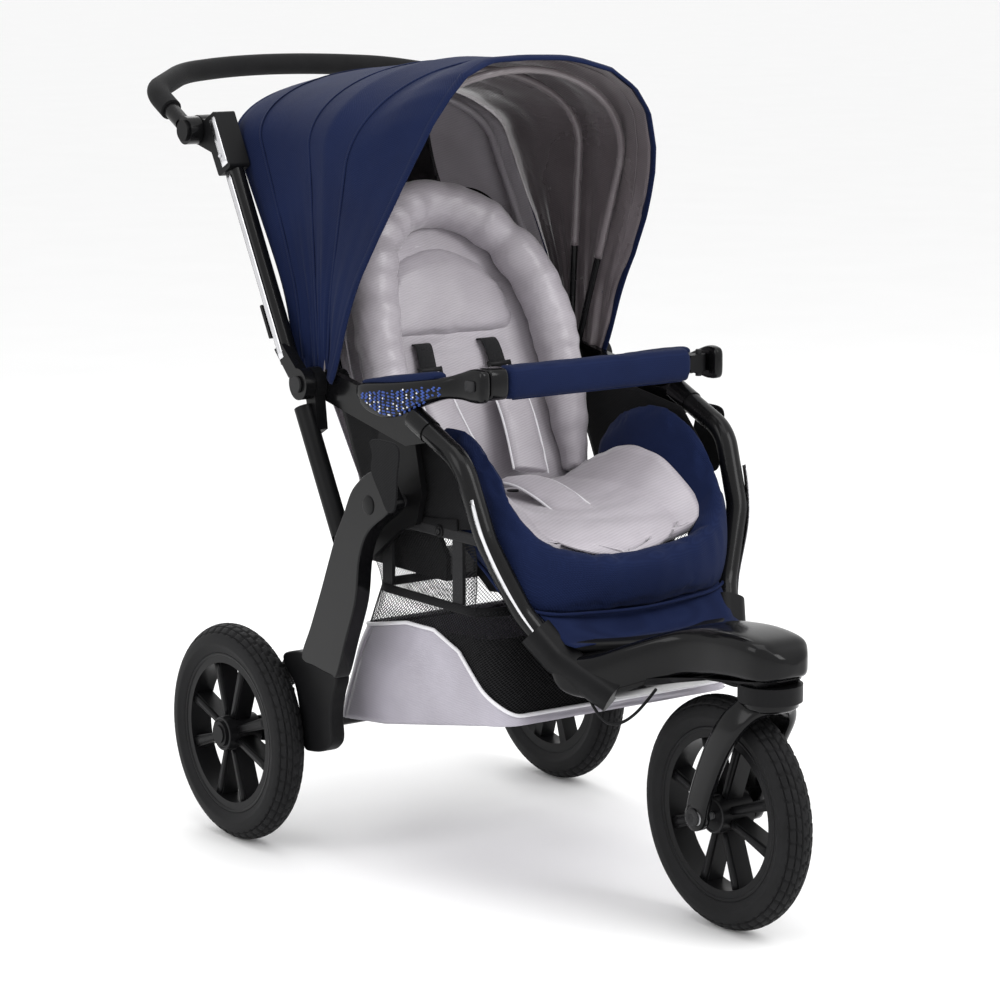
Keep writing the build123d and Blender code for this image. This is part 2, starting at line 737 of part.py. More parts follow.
def handle_sleeve():
    """Moulded end of the handle tube with the lug that carries the handlebar."""
    low, high = line_point(906), line_point(978)
    front, back = 17, 17
    outline = [shift(low, behind=-front), shift(low, behind=back), shift(high, behind=back + 2),
               shift(high, behind=-front)]
    sleeve = side_plate(outline, 224.5, 255.5, corner=5)
    y, z = HANDLE_AXIS_YZ
    lug = x_rod(HANDLE_AXIS_YZ, 235, 255.5, 20) + side_plate(
        [shift(line_point(932), behind=10), shift(line_point(976), behind=10), (y, z + 19), (y + 4, z - 19)],
        235, 255.5)
    sleeve = sleeve + lug - full_on_line(900, LINE_Z1 + 20, TUBE_R)
    return sleeve - x_rod(HANDLE_AXIS_YZ, 230, 260, 7 + RUNNING_GAP)


def handlebar():
    """Bent handlebar with an eye at each end."""
    y, z = HANDLE_AXIS_YZ
    points = [(268, y + 12, z + 6), (264, y + 98, z + 48), (168, y + 184, z + 66), (0, y + 238, z + 75),
              (-168, y + 184, z + 66), (-264, y + 98, z + 48), (-268, y + 12, z + 6)]
    path = FilletPolyline(*points, radius=[58, 150, 380, 150, 58])
    return path


def handlebar_solid():
    """Handlebar tube and its hubs."""
    bar = pipe(handlebar(), BAR_R, TUBE_WALL)
    for side in (-1, 1):
        hub = x_rod(HANDLE_AXIS_YZ, side * 256.5, side * 276, 19)
        pin = x_rod(HANDLE_AXIS_YZ, side * 236, side * 258, 7)
        bar -= hub
        bar += hub + pin
        bar -= x_rod(HANDLE_AXIS_YZ, side * 276, side * 290, 20)
        bar -= x_rod(HANDLE_AXIS_YZ, side * 268, side * 277, 14.3)
    return bar


def handle_grip():
    """Foam grip on the handlebar."""
    path = handlebar()
    part = path.trim(0.055, 0.945)
    return pipe(part, GRIP_R, GRIP_R - BAR_R)


def handle_button(side):
    """Push button in the handlebar's hub."""
    return x_rod(HANDLE_AXIS_YZ, side * 272, side * 280, 14)


def fold_latch():
    """Sliding catch on the handle tube just above the hinge."""
    low, high = line_point(700), line_point(742)
    outline = [shift(low, behind=14.5), shift(low, behind=20), shift(high, behind=20),
               shift(high, behind=14.5)]
    return side_plate(outline, 231, 249, corner=2)


# ---------------------------------------------------------------- canopy
BOWS = {"rear": (60.0, 430.0, 92.0, 185.0), "mid": (94.0, 404.0, 110.0, 194.0),
        "front": (110.0, 434.0, 150.0, 203.0)}


def fan_plane(angle):
    """Plane through the hub axis whose own Y axis points out at the given angle from the rear."""
    a = radians(angle)
    return Plane(origin=(0, *HUB_YZ), x_dir=(1, 0, 0), z_dir=(0, -sin(a), cos(a)))


def arch_edges(angle, apex, rise, half, foot):
    """Upside-down U in a fan plane, from foot height up to the apex radius."""
    left = Line((-half, foot), (-half, apex - rise))
    top = EllipticalCenterArc((0, apex - rise), half, rise, start_angle=0, arc_size=180)
    right = Line((half, foot), (half, apex - rise))
    return fan_plane(angle) * (left + top + right)


def arch_face(angle, apex, rise, half, foot):
    """Filled arch for lofting the canopy."""
    base = fan_plane(angle) * Line((-half, foot), (half, foot))
    return make_face(Curve() + arch_edges(angle, apex, rise, half, foot) + base)


def canopy_bow(name):
    """Bent canopy bow with an eye at each end."""
    angle, apex, rise, half = BOWS[name]
    path = Wire(arch_edges(angle, apex, rise, half, 0.0).edges())
    bow = rod(path, BOW_R)
    eyes = []
    for side in (-1, 1):
        x = side * half
        eye = x_rod(HUB_YZ, x - BOW_R + 0.15, x + BOW_R - 0.15, 15)
        eyes.append(eye)
    for eye in eyes:
        bow += eye
    return bow - x_rod(HUB_YZ, -230, 230, PIN_R + RUNNING_GAP)


CANOPY_ARCHES = [(57.0, 452.0, 93.0), (76.0, 424.0, 104.0), (92.0, 420.0, 112.0), (103.0, 434.0, 138.0),
                 (117.0, 456.0, 176.0)]


def canopy_fabric():
    """Canopy skin: one curved sheet over the bows, open at the front and the back."""
    def form(inset, extra):
        faces = []
        last = len(CANOPY_ARCHES) - 1
        for index, (angle, apex, rise) in enumerate(CANOPY_ARCHES):
            turn = -extra if index == 0 else extra if index == last else 0
            faces.append(arch_face(angle + turn, apex - inset, rise, CANOPY_HALF - inset,
                                   34 - extra * 4))
        return loft(faces)
    return form(0, 0) - form(CANOPY_SKIN, 1.5)


# ---------------------------------------------------------------- cable
CABLE_R = 2.0


def lock_cable():
    """Control cable that loops from the right leg connector to the front housing."""
    points = [(-120, -318, 284), (-119, -335, 265), (-113, -357, 258), (-100, -373, 268),
              (-83, -382, 287), (-66, -382, 303)]
    radii = []
    for before, here, after in zip(points, points[1:], points[2:]):
        a = Vector(*here) - Vector(*before)
        b = Vector(*after) - Vector(*here)
        turn = radians(a.get_angle(b))
        radii.append(0.45 * min(a.length, b.length) / sin(turn / 2) * cos(turn / 2))
    print("cable radii", [round(r, 1) for r in radii])
    path = FilletPolyline(*points, radius=radii)
    return rod(path, CABLE_R)


# ---------------------------------------------------------------- nodes
def build_nodes():
    """Every named node with its list of solids."""
    nodes = {
        "side_arms": both(side_arm()),
        "hinge_plates": both(hinge_plate()),
        "lower_struts": both(lower_strut()),
        "hinge_pins": [pin for piece in pivot_pins() for pin in both(piece)] + seat_pins()
        + [bumper_pin()],
        "front_legs": both(pipe(front_leg_path(), 14, TUBE_WALL)),
        "leg_sockets": [leg_socket(), mirrored(leg_socket()) - lock_cable()],
        "front_housing_shell": [front_housing_shell()],
        "front_housing_base": [front_housing_base()],
        "steering_bush": [steering_bush()],
        "footrest_strip": [footrest_strip()],
        "seat_pan": [seat_pan()],
        "seat_cushion": [seat_cushion()],
        "seat_rims": both(seat_rim()),
        "side_panels": both(side_panel()),
        "leg_panel": [leg_panel()],
        "basket": [basket()],
        "basket_rails": [s for piece in basket_rail() for s in both(piece)],
        "bumper_brackets": both(bumper_bracket()),
        "armrest_covers": both(armrest_cover()),
        "crotch_strap": [crotch_strap()],
        "buckle_body": [buckle_body()],
        "lock_cable": [lock_cable()],
        "rear_legs": both(rear_leg()) + both(rear_leg_cover()),
        "suspension_housings": both(suspension_housing()),
        "rear_axle_tube": [rear_axle_tube()] + both(x_rod(SUSPENSION_YZ, 212.5, 247.5, PIN_R)),
        "suspension_springs": both(suspension_spring()),
        "brake_pedal": [brake_pedal()],
        "fork": [fork()],
        "fork_stem_and_axle": [fork_stem(), front_axle()],
        "backrest_board": [backrest_board()],
        "backrest_pad": [backrest_pad()],
        "head_bolster": [head_bolster()],
        "shoulder_belts": harness(),
        "buckle_button": [buckle_button()],
        "legrest_board": [legrest_board()],
        "legrest_pad": [legrest_pad()],
        "handle_tubes": both(handle_tube()),
        "handle_sleeves": both(handle_sleeve()),
        "fold_latches": both(fold_latch()),
        "handlebar": [handlebar_solid()],
        "handle_grip": [handle_grip()],
        "handle_button_left": [handle_button(1)],
        "handle_button_right": [handle_button(-1)],
        "canopy_rear_bow": [canopy_bow("rear")],
        "canopy_mid_bow": [canopy_bow("mid")],
        "canopy_front_bow": [canopy_bow("front")],
        "canopy_fabric": [canopy_fabric()],
        "bumper_bar": [bumper_bar()],
        "bumper_cover": [bumper_cover()],
        "bumper_release": [bumper_release()],
    }
    for name, x in (("left", WHEEL_X), ("right", -WHEEL_X)):
        arm = suspension_arm()
        nodes[f"suspension_arm_{name}"] = [arm if x > 0 else mirrored(arm)]
        for part, solids in wheel_parts(x, REAR_AXLE_Y, True).items():
            nodes[f"rear_{name}_{part}"] = solids
    for part, solids in wheel_parts(0, FRONT_AXLE_Y, False).items():
        nodes[f"front_{part}"] = solids
    return nodes


def write_nodes():
    """Write one STEP file per node."""
    os.makedirs("parts", exist_ok=True)
    for name, solids in build_nodes().items():
        pieces = []
        for solid in solids:
            pieces.extend((Pos(0, FRAME_SHIFT_Y, 0) * solid).solids())
        export_step(Compound(children=pieces), f"parts/{name}.step")


write_nodes()
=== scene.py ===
"""Visual model of the three-wheel pushchair: soft goods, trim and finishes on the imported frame."""

from math import atan2, copysign, cos, degrees, dist, exp, pi, radians, sin, tan

import bpy
import numpy as np
from mathutils import Matrix, Vector, noise
from mathutils.bvhtree import BVHTree


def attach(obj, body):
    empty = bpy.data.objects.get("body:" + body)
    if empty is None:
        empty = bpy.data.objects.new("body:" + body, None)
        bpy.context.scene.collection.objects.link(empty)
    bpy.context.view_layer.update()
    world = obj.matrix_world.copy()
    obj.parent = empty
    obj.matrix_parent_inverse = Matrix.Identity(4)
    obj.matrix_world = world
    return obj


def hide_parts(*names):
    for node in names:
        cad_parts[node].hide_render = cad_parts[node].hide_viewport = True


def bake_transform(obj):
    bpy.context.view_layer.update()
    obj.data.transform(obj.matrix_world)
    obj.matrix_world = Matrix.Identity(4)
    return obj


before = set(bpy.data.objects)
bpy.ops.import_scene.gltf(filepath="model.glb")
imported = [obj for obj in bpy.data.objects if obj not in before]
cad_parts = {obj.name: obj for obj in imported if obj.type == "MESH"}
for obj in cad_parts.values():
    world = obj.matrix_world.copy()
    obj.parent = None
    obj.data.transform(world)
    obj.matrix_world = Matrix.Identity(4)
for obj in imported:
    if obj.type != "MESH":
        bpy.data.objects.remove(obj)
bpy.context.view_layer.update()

# Positions below are in the part's working millimetres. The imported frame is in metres, moved along Y.
SHIFT_Y = -11.25
SIDES = ((-1, "right"), (1, "left"))
HUB = (139.0, 639.0)        # canopy and handle pivot, as Y and Z
BACK_FOOT = (62.0, 455.0)   # lower edge of the backrest board
BACK_TILT = radians(22.3)
CAMERA_AZIMUTH = radians(36.63)
CAMERA_RISE = radians(10.01)
FOCAL_LENGTHS = 3.368       # lens length over sensor width
CAMERA_DISTANCE = 4.433
SENSOR = 36.0


def place(points):
    """Working millimetres to packed-frame metres."""
    return (np.array(points, float).reshape(-1, 3) + (0, SHIFT_Y, 0)) / 1000


def drift(x, y, z):
    """Smooth noise at a point."""
    return noise.noise(Vector((x, y, z)))


def round_angles(count):
    return np.linspace(0, 2 * pi, count, endpoint=False)


def spot(x, y, z):
    return tuple(float(c) for c in place([(x, y, z)])[0])


# ------------------------------------------------------------------ materials
class Look:
    """A principled material with short calls for its nodes."""

    def __init__(self, name, colour, rough, **sockets):
        self.material = bpy.data.materials.new(name)
        self.material.use_nodes = True
        self.tree = self.material.node_tree
        self.shader = self.tree.nodes["Principled BSDF"]
        self.coords = self.tree.nodes.new("ShaderNodeTexCoord").outputs["Object"]
        self.shader.inputs["Base Color"].default_value = (*colour, 1)
        self.shader.inputs["Roughness"].default_value = rough
        for key, value in sockets.items():
            self.shader.inputs[key.replace("_", " ")].default_value = value

    def add(self, kind, settings=None, **inputs):
        node = self.tree.nodes.new("ShaderNode" + kind)
        for key, value in (settings or {}).items():
            setattr(node, key, value)
        for key, value in inputs.items():
            self.put(node.inputs[key.replace("_", " ")], value)
        return node

    def put(self, socket, value):
        if isinstance(value, bpy.types.NodeSocket):
            self.tree.links.new(value, socket)
        else:
            socket.default_value = value

    def noise(self, scale, detail=4.0, rough=0.5, vector=None):
        return self.add("TexNoise", Vector=vector or self.coords, Scale=scale, Detail=detail,
                        Roughness=rough).outputs[0]

    def turned(self, angles):
        return self.add("Mapping", Vector=self.coords, Rotation=angles).outputs[0]

    def wave(self, scale, direction, vector=None, distortion=0.0):
        return self.add("TexWave", {"wave_type": "BANDS", "bands_direction": direction},
                        Vector=vector or self.coords, Scale=scale, Distortion=distortion,
                        Detail=1.0).outputs["Fac"]

    def ramp(self, fac, *stops):
        node = self.add("ValToRGB", Fac=fac)
        elements = node.color_ramp.elements
        while len(elements) < len(stops):
            elements.new(0.5)
        for element, (position, colour) in zip(elements, stops):
            element.position = position
            element.color = (*colour, 1)
        return node.outputs["Color"]

    def calc(self, operation, a, b):
        node = self.tree.nodes.new("ShaderNodeMath")
        node.operation = operation
        self.put(node.inputs[0], a)
        self.put(node.inputs[1], b)
        return node.outputs[0]

    def colour(self, fac, *stops):
        self.put(self.shader.inputs["Base Color"], self.ramp(fac, *stops))

    def rough(self, fac, low, high):
        node = self.add("MapRange", Value=fac, To_Min=low, To_Max=high)
        self.put(self.shader.inputs["Roughness"], node.outputs[0])

    def bump(self, height, distance, strength=1.0, normal=None):
        node = self.add("Bump", Height=height, Distance=distance, Strength=strength)
        if normal is not None:
            self.put(node.inputs["Normal"], normal)
        self.put(self.shader.inputs["Normal"], node.outputs[0])
        return node.outputs[0]


def shade(colour, factor):
    return tuple(c * factor for c in colour)


def moulded(name, colour, rough, grain=0.00008, scale=900.0, coat=0.0):
    """Moulded plastic: fine grain, slight handling marks and a softer shine where it is rubbed."""
    look = Look(name, colour, rough, Coat_Weight=coat, Coat_Roughness=0.1, Specular_IOR_Level=0.12)
    marks = look.noise(14.0, 6.0, 0.6)
    look.colour(marks, (0.3, shade(colour, 0.8)), (0.7, shade(colour, 1.35)))
    look.rough(marks, max(0.05, rough - 0.07), rough + 0.09)
    fine = look.bump(look.noise(scale, 2.0), grain)
    look.bump(look.noise(60.0, 2.0), 0.0001, 0.4, fine)
    return look.material


def woven(name, colour, light, rough, rib, sheen, depth=0.00022, cloudy=0.72):
    """Woven cloth: two crossed sets of threads, soft shade drift and a fuzz sheen."""
    look = Look(name, colour, rough, Sheen_Weight=sheen, Sheen_Roughness=0.45, Specular_IOR_Level=0.07)
    threads = look.calc("MULTIPLY", look.wave(rib, "DIAGONAL", look.turned((0.3, 0.2, 0.5))),
                        look.wave(rib, "DIAGONAL", look.turned((0.2, 0.4, 2.05))))
    cloud = look.noise(9.0, 5.0, 0.6)
    mixed = look.calc("ADD", look.calc("MULTIPLY", threads, 0.5), look.calc("MULTIPLY", cloud, cloudy))
    look.colour(mixed, (0.15, colour), (0.95, light))
    look.rough(cloud, rough - 0.06, rough + 0.08)
    weave = look.bump(threads, depth)
    look.bump(look.noise(28.0, 3.0), 0.0011, 0.55, weave)
    return look.material


def satin(name, dark, light, rib, rough=0.36):
    """Ribbed satin: fine ribs one way, broad soft shine."""
    look = Look(name, light, rough, Sheen_Weight=0.35, Sheen_Roughness=0.35, Specular_IOR_Level=0.6)
    ribs = look.wave(rib, "Z", look.turned((0.35, 0.25, 0.0)), 1.2)
    cloud = look.noise(7.0, 5.0, 0.55)
    look.colour(look.calc("ADD", look.calc("MULTIPLY", ribs, 0.16), look.calc("MULTIPLY", cloud, 0.84)),
                (0.25, dark), (0.72, light))
    look.rough(cloud, rough - 0.08, rough + 0.12)
    fine = look.bump(ribs, 0.00022, 0.6)
    look.bump(look.noise(22.0, 3.0), 0.0016, 0.6, fine)
    return look.material


def metal(name, colour, rough):
    """Brushed metal with faint streaks."""
    look = Look(name, colour, rough, Metallic=1.0, Anisotropic=0.5)
    streak = look.noise(900.0, 2.0, 0.5, look.add("Mapping", Vector=look.coords,
                                                  Scale=(1.0, 0.04, 0.04)).outputs[0])
    look.rough(streak, rough - 0.06, rough + 0.1)
    look.colour(streak, (0.3, shade(colour, 0.85)), (0.7, colour))
    look.bump(streak, 0.00003)
    return look.material


def rubber(name, colour, rough, pitted):
    """Rubber or foam with fine pits and dusty high spots."""
    look = Look(name, colour, rough, Specular_IOR_Level=0.14)
    dust = look.noise(25.0, 8.0, 0.65)
    look.colour(dust, (0.35, colour), (0.85, shade(colour, 2.0)))
    look.rough(dust, rough - 0.1, min(1.0, rough + 0.08))
    look.bump(look.noise(1400.0, 3.0), pitted)
    return look.material


def netting(name, colour, rough):
    """Knitted net yarn."""
    look = Look(name, colour, rough, Sheen_Weight=0.05, Specular_IOR_Level=0.15)
    yarn = look.wave(900.0, "DIAGONAL")
    look.colour(yarn, (0.2, colour), (0.9, shade(colour, 1.8)))
    look.bump(yarn, 0.00015)
    return look.material


NAVY = (0.0042, 0.0078, 0.03)
M = {"gloss_black": moulded("gloss_black", (0.003, 0.003, 0.0034), 0.18, 0.00001, 500.0, 0.16),
    "matte_black": moulded("matte_black", (0.0045, 0.0045, 0.005), 0.44),
    "rim_plastic": moulded("rim_plastic", (0.0045, 0.0045, 0.005), 0.38),
    "black_tube": moulded("black_tube", (0.004, 0.004, 0.0044), 0.26, 0.00003, 1500.0, 0.14),
    "steel": metal("steel", (0.62, 0.62, 0.64), 0.28),
    "polished": metal("polished", (0.72, 0.72, 0.74), 0.17),
    "bush_plastic": moulded("bush_plastic", (0.02, 0.02, 0.021), 0.5),
    "tyre_rubber": rubber("tyre_rubber", (0.006, 0.006, 0.0065), 0.62, 0.00012),
    "spring_rubber": rubber("spring_rubber", (0.02, 0.02, 0.02), 0.7, 0.00012),
    "foam_grip": rubber("foam_grip", (0.007, 0.007, 0.0075), 0.8, 0.0004),
    "navy_fabric": woven("navy_fabric", NAVY, (0.0088, 0.016, 0.056), 0.8, 190.0, 0.03),
    "black_fabric": woven("black_fabric", (0.004, 0.004, 0.0045), (0.012, 0.012, 0.013), 0.8, 150.0,
                          0.06),
    "grey_fabric": satin("grey_fabric", (0.3, 0.275, 0.3), (0.46, 0.43, 0.47), 95.0),
    "white_piping": satin("white_piping", (0.62, 0.61, 0.64), (0.8, 0.79, 0.82), 260.0, 0.4),
    "lining_fabric": satin("lining_fabric", (0.1, 0.085, 0.09), (0.19, 0.165, 0.175), 130.0, 0.24),
    "basket_satin": satin("basket_satin", (0.27, 0.25, 0.29), (0.42, 0.4, 0.46), 150.0, 0.33),
    "webbing": netting("webbing", (0.01, 0.01, 0.011), 0.6),
    "basket_net": netting("basket_net", (0.009, 0.009, 0.01), 0.55),
    "dot_blue": moulded("dot_blue", (0.045, 0.085, 0.3), 0.35),
    "dot_white": moulded("dot_white", (0.75, 0.76, 0.8), 0.3),
    "window_film": moulded("window_film", (0.006, 0.006, 0.007), 0.1, 0.00001, 40.0, 0.9),}


# ------------------------------------------------------------------ mesh tools
def add_mesh(name, points, faces, look, smooth=True):
    """New object from working-millimetre points."""
    data = bpy.data.meshes.new(name)
    data.from_pydata([tuple(p) for p in place(points)], [], [tuple(int(i) for i in f) for f in faces])
    data.validate()
    obj = bpy.data.objects.new(name, data)
    bpy.context.scene.collection.objects.link(obj)
    data.materials.append(M[look])
    if smooth:
        data.polygons.foreach_set("use_smooth", [True] * len(data.polygons))
    return obj


def bake(obj):
    """Applies the modifiers to the mesh."""
    graph = bpy.context.evaluated_depsgraph_get()
    data = bpy.data.meshes.new_from_object(obj.evaluated_get(graph))
    obj.modifiers.clear()
    obj.data = data
    return obj


def modify(obj, kind, **settings):
    modifier = obj.modifiers.new(kind.lower(), kind)
    for key, value in settings.items():
        setattr(modifier, key, value)
    return bake(obj)


def grid_faces(rows, columns, closed_rows=False, closed_columns=False, first=0):
    """Quads of a grid of points listed row by row."""
    faces = []
    for i in range(rows if closed_rows else rows - 1):
        for j in range(columns if closed_columns else columns - 1):
            a, b = i, (i + 1) % rows
            c, d = j, (j + 1) % columns
            faces.append((first + a * columns + c, first + a * columns + d,
                          first + b * columns + d, first + b * columns + c))
    return faces


def sheet_mesh(name, rows, look, thickness, offset=0.0):
    """Thin sheet through a grid of points, given a thickness in mm."""
    count = len(rows[0])
    obj = add_mesh(name, [p for row in rows for p in row], grid_faces(len(rows), count), look)
    return modify(obj, "SOLIDIFY", thickness=thickness / 1000, offset=offset, use_even_offset=False)


def loops_mesh(name, loops, look, capped=True, closed=False):
    """Skin over closed loops of equal length, with flat ends."""
    count = len(loops[0])
    points = [p for loop in loops for p in loop]
    faces = grid_faces(len(loops), count, closed, True)
    if capped and not closed:
        faces.append(tuple(range(count))[::-1])
        faces.append(tuple(len(points) - count + i for i in range(count)))
    return add_mesh(name, points, faces, look)


def curve_through(points, per=8, closed=False):
    """Catmull-Rom line through the points."""
    p = np.array(points, float)
    count = len(p)
    out = []
    for i in range(count if closed else count - 1):
        if closed:
            a, b, c, d = (p[(i + k) % count] for k in (-1, 0, 1, 2))
        else:
            a, b, c, d = p[max(i - 1, 0)], p[i], p[i + 1], p[min(i + 2, count - 1)]
        for k in range(per):
            t = k / per
            out.append(0.5 * ((2 * b) + (c - a) * t + (2 * a - 5 * b + 4 * c - d) * t ** 2
                              + (3 * b - a - 3 * c + d) * t ** 3))
    if not closed:
        out.append(p[-1])
    return np.array(out)


def frames(line, side=None, closed=False):
    """Tangent, side and normal along a line; side keeps one direction where it is given."""
    if closed:
        tangent = np.roll(line, -1, 0) - np.roll(line, 1, 0)
    else:
        tangent = np.gradient(line, axis=0)
    tangent /= np.linalg.norm(tangent, axis=1)[:, None]
    sides = []
    current = np.array(side if side is not None else (0.31, 0.2, 0.93), float)
    for t in tangent:
        across = current - (current @ t) * t
        across /= np.linalg.norm(across)
        sides.append(across)
        if side is None:
            current = across
    sides = np.array(sides)
    return tangent, sides, np.cross(tangent, sides)


def sweep(name, line, section, look, side=None, closed=False, scale=None):
    """Section (pairs along side and normal, mm) carried along a line."""
    line = np.array(line, float)
    _, sides, normals = frames(line, side, closed)
    loops = []
    for i, (p, s, n) in enumerate(zip(line, sides, normals)):
        k = 1.0 if scale is None else scale[i]
        loops.append([p + s * a * k + n * b * k for a, b in section])
    return loops_mesh(name, loops, look, True, closed)


def circle(radius, count=12, flat=1.0):
    return [(radius * cos(2 * pi * i / count), radius * flat * sin(2 * pi * i / count))
            for i in range(count)]


def slab(width, thick, bevel=None):
    """Strap section with rounded edges, width along side."""
    b = min(bevel if bevel else thick * 0.45, thick / 2)
    w, t = width / 2, thick / 2
    return [(w - b, -t), (w, -t + b), (w, t - b), (w - b, t), (-w + b, t), (-w, t - b), (-w, -t + b),
            (-w + b, -t)]


def rounded_pairs(a, b, power=0.5, count=20):
    """Rounded oblong of half sizes a and b; a low power squares its corners."""
    pairs = []
    for t in round_angles(count):
        c, s = cos(t), sin(t)
        pairs.append((copysign(abs(c) ** power, c) * a, copysign(abs(s) ** power, s) * b))
    return pairs


def lathe(name, profile, centre, look, steps=64, ring=False):
    """Turns (x, radius) pairs about an axis along X; a ring's profile closes on itself."""
    loops = []
    cx, cy, cz = centre
    for x, r in profile:
        loops.append([(cx + x, cy + max(r, 0.01) * cos(a), cz + max(r, 0.01) * sin(a))
                      for a in round_angles(steps)])
    return loops_mesh(name, loops, look, not ring, ring)


def plate(name, outline, x0, x1, look, bevel=1.5, segments=3):
    """Bevelled plate with its outline in the YZ plane."""
    loops = [[(x, y, z) for y, z in outline] for x in (x0, x1)]
    obj = loops_mesh(name, loops, look)
    obj.data.polygons.foreach_set("use_smooth", [False] * len(obj.data.polygons))
    modify(obj, "BEVEL", width=bevel / 1000, segments=segments, limit_method="ANGLE")
    obj.data.polygons.foreach_set("use_smooth", [True] * len(obj.data.polygons))
    return modify(obj, "WEIGHTED_NORMAL", keep_sharp=True)


def finish(obj, body, replaced=()):
    """Puts a piece on its body and hides the CAD parts it replaces."""
    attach(obj, body)
    if replaced:
        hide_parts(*replaced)
    return obj


def joined(name, objects):
    """Joins meshes into one piece."""
    points, faces, materials, indices = [], [], [], []
    for obj in objects:
        start = len(points)
        points += [v.co.copy() for v in obj.data.vertices]
        used = obj.data.materials[0]
        if used not in materials:
            materials.append(used)
        for polygon in obj.data.polygons:
            faces.append([start + i for i in polygon.vertices])
            indices.append(materials.index(used))
        bpy.data.objects.remove(obj)
    data = bpy.data.meshes.new(name)
    data.from_pydata(points, [], faces)
    for material in materials:
        data.materials.append(material)
    data.polygons.foreach_set("material_index", indices)
    data.polygons.foreach_set("use_smooth", [True] * len(faces))
    obj = bpy.data.objects.new(name, data)
    bpy.context.scene.collection.objects.link(obj)
    return obj


def puff(obj, cap, pressure=4.0, voxel=5.0):
    """Swells a padded piece by a short cloth simulation, with its movement capped in mm."""
    modify(obj, "REMESH", mode="VOXEL", voxel_size=voxel / 1000)
    before = np.array([v.co for v in obj.data.vertices])
    modifier = obj.modifiers.new("cloth", "CLOTH")
    modifier.settings.use_pressure = True
    modifier.settings.uniform_pressure_force = pressure
    modifier.settings.effector_weights.gravity = 0.0
    modifier.settings.quality = 4
    scene = bpy.context.scene
    for step in range(1, 21):
        scene.frame_set(step)
    bake(obj)
    scene.frame_set(1)
    after = np.array([v.co for v in obj.data.vertices])
    move = after - before
    size = np.linalg.norm(move, axis=1, keepdims=True)
    move *= np.minimum(1.0, cap / 1000 / np.maximum(size, 1e-9))
    obj.data.vertices.foreach_set("co", (before + move).astype(np.float32).ravel())
    obj.data.polygons.foreach_set("use_smooth", [True] * len(obj.data.polygons))
    obj.data.update()
    return modify(obj, "SUBSURF", levels=1)


def crumple(obj, amount, size, seed=0.0):
    """Moves the points along their normals by smooth noise: amount and size in mm."""
    data = obj.data
    for vertex in data.vertices:
        vertex.co += vertex.normal * (noise.noise(vertex.co * (1000 / size) + Vector((seed, 0, 0)))
                                      * amount / 1000)
    data.update()
    return obj


# ------------------------------------------------------------------ control cable
CABLE_ROUTE = [(-120, -318, 284), (-119, -335, 265), (-113, -357, 258), (-100, -373, 268),
               (-83, -382, 287), (-66, -382, 303)]


def control_cable():
    """Short cable that bows from the right leg connector to the front housing."""
    data = bpy.data.curves.new("control_cable", "CURVE")
    data.dimensions = "3D"
    spline = data.splines.new("NURBS")
    spline.points.add(len(CABLE_ROUTE) - 1)
    for point, co in zip(spline.points, place(CABLE_ROUTE)):
        point.co = (*co, 1)
    spline.order_u = 3
    spline.use_endpoint_u = True
    spline.resolution_u = 12
    data.bevel_depth = 0.002
    data.bevel_resolution = 4
    data.materials.append(M["matte_black"])
    cable = bpy.data.objects.new("control_cable", data)
    bpy.context.scene.collection.objects.link(cable)
    finish(cable, "chassis", ["lock_cable"])


# ------------------------------------------------------------------ canopy
ARCHES = np.array([(57, 452, 93), (76, 424, 104), (92, 420, 112), (103, 434, 138)], float)
CANOPY_HALF = 221.5
CANOPY_END = 117.0          # nominal fan angle of the front edge
FRONT_EDGE = [(225, 30), (225, 100), (224, 186), (222, 204), (218, 246), (212, 282), (205, 318),
              (195, 354), (175, 402), (150, 432), (120, 449), (80, 455), (40, 456), (0, 456)]
FRONT_TURN = ((0, -5.5), (60, -5.0), (120, -1.5), (150, 1.0), (175, 3.0), (195, 5.0), (205, 6.0),
              (225, 8.0))


def smooth_value(x, xs, ys):
    """Smooth curve through a short table."""
    slope = np.gradient(ys, xs)
    i = int(np.clip(np.searchsorted(xs, x) - 1, 0, len(xs) - 2))
    h = xs[i + 1] - xs[i]
    t = (x - xs[i]) / h
    return ((2 * t ** 3 - 3 * t ** 2 + 1) * ys[i] + (t ** 3 - 2 * t ** 2 + t) * h * slope[i]
            + (3 * t ** 2 - 2 * t ** 3) * ys[i + 1] + (t ** 3 - t ** 2) * h * slope[i + 1])


def curve_value(points, s):
    """Point at share s along a short polyline, by length."""
    p = np.array(points, float)
    length = np.concatenate([[0], np.cumsum(np.linalg.norm(np.diff(p, axis=0), axis=1))])
    at = s * length[-1]
    return np.array([np.interp(at, length, p[:, k]) for k in range(p.shape[1])])


def bow_shape(half, apex, rise, s, foot=30.0):
    """(x, radius) round an upside-down U: s from 0 at one foot over the top to 1."""
    straight = 0.3
    if s < straight:
        return -half, foot + (apex - rise - foot) * s / straight
    if s > 1 - straight:
        return half, foot + (apex - rise - foot) * (1 - s) / straight
    turn = pi * (1 - (s - straight) / (1 - 2 * straight))
    return half * cos(turn), apex - rise + rise * sin(turn)


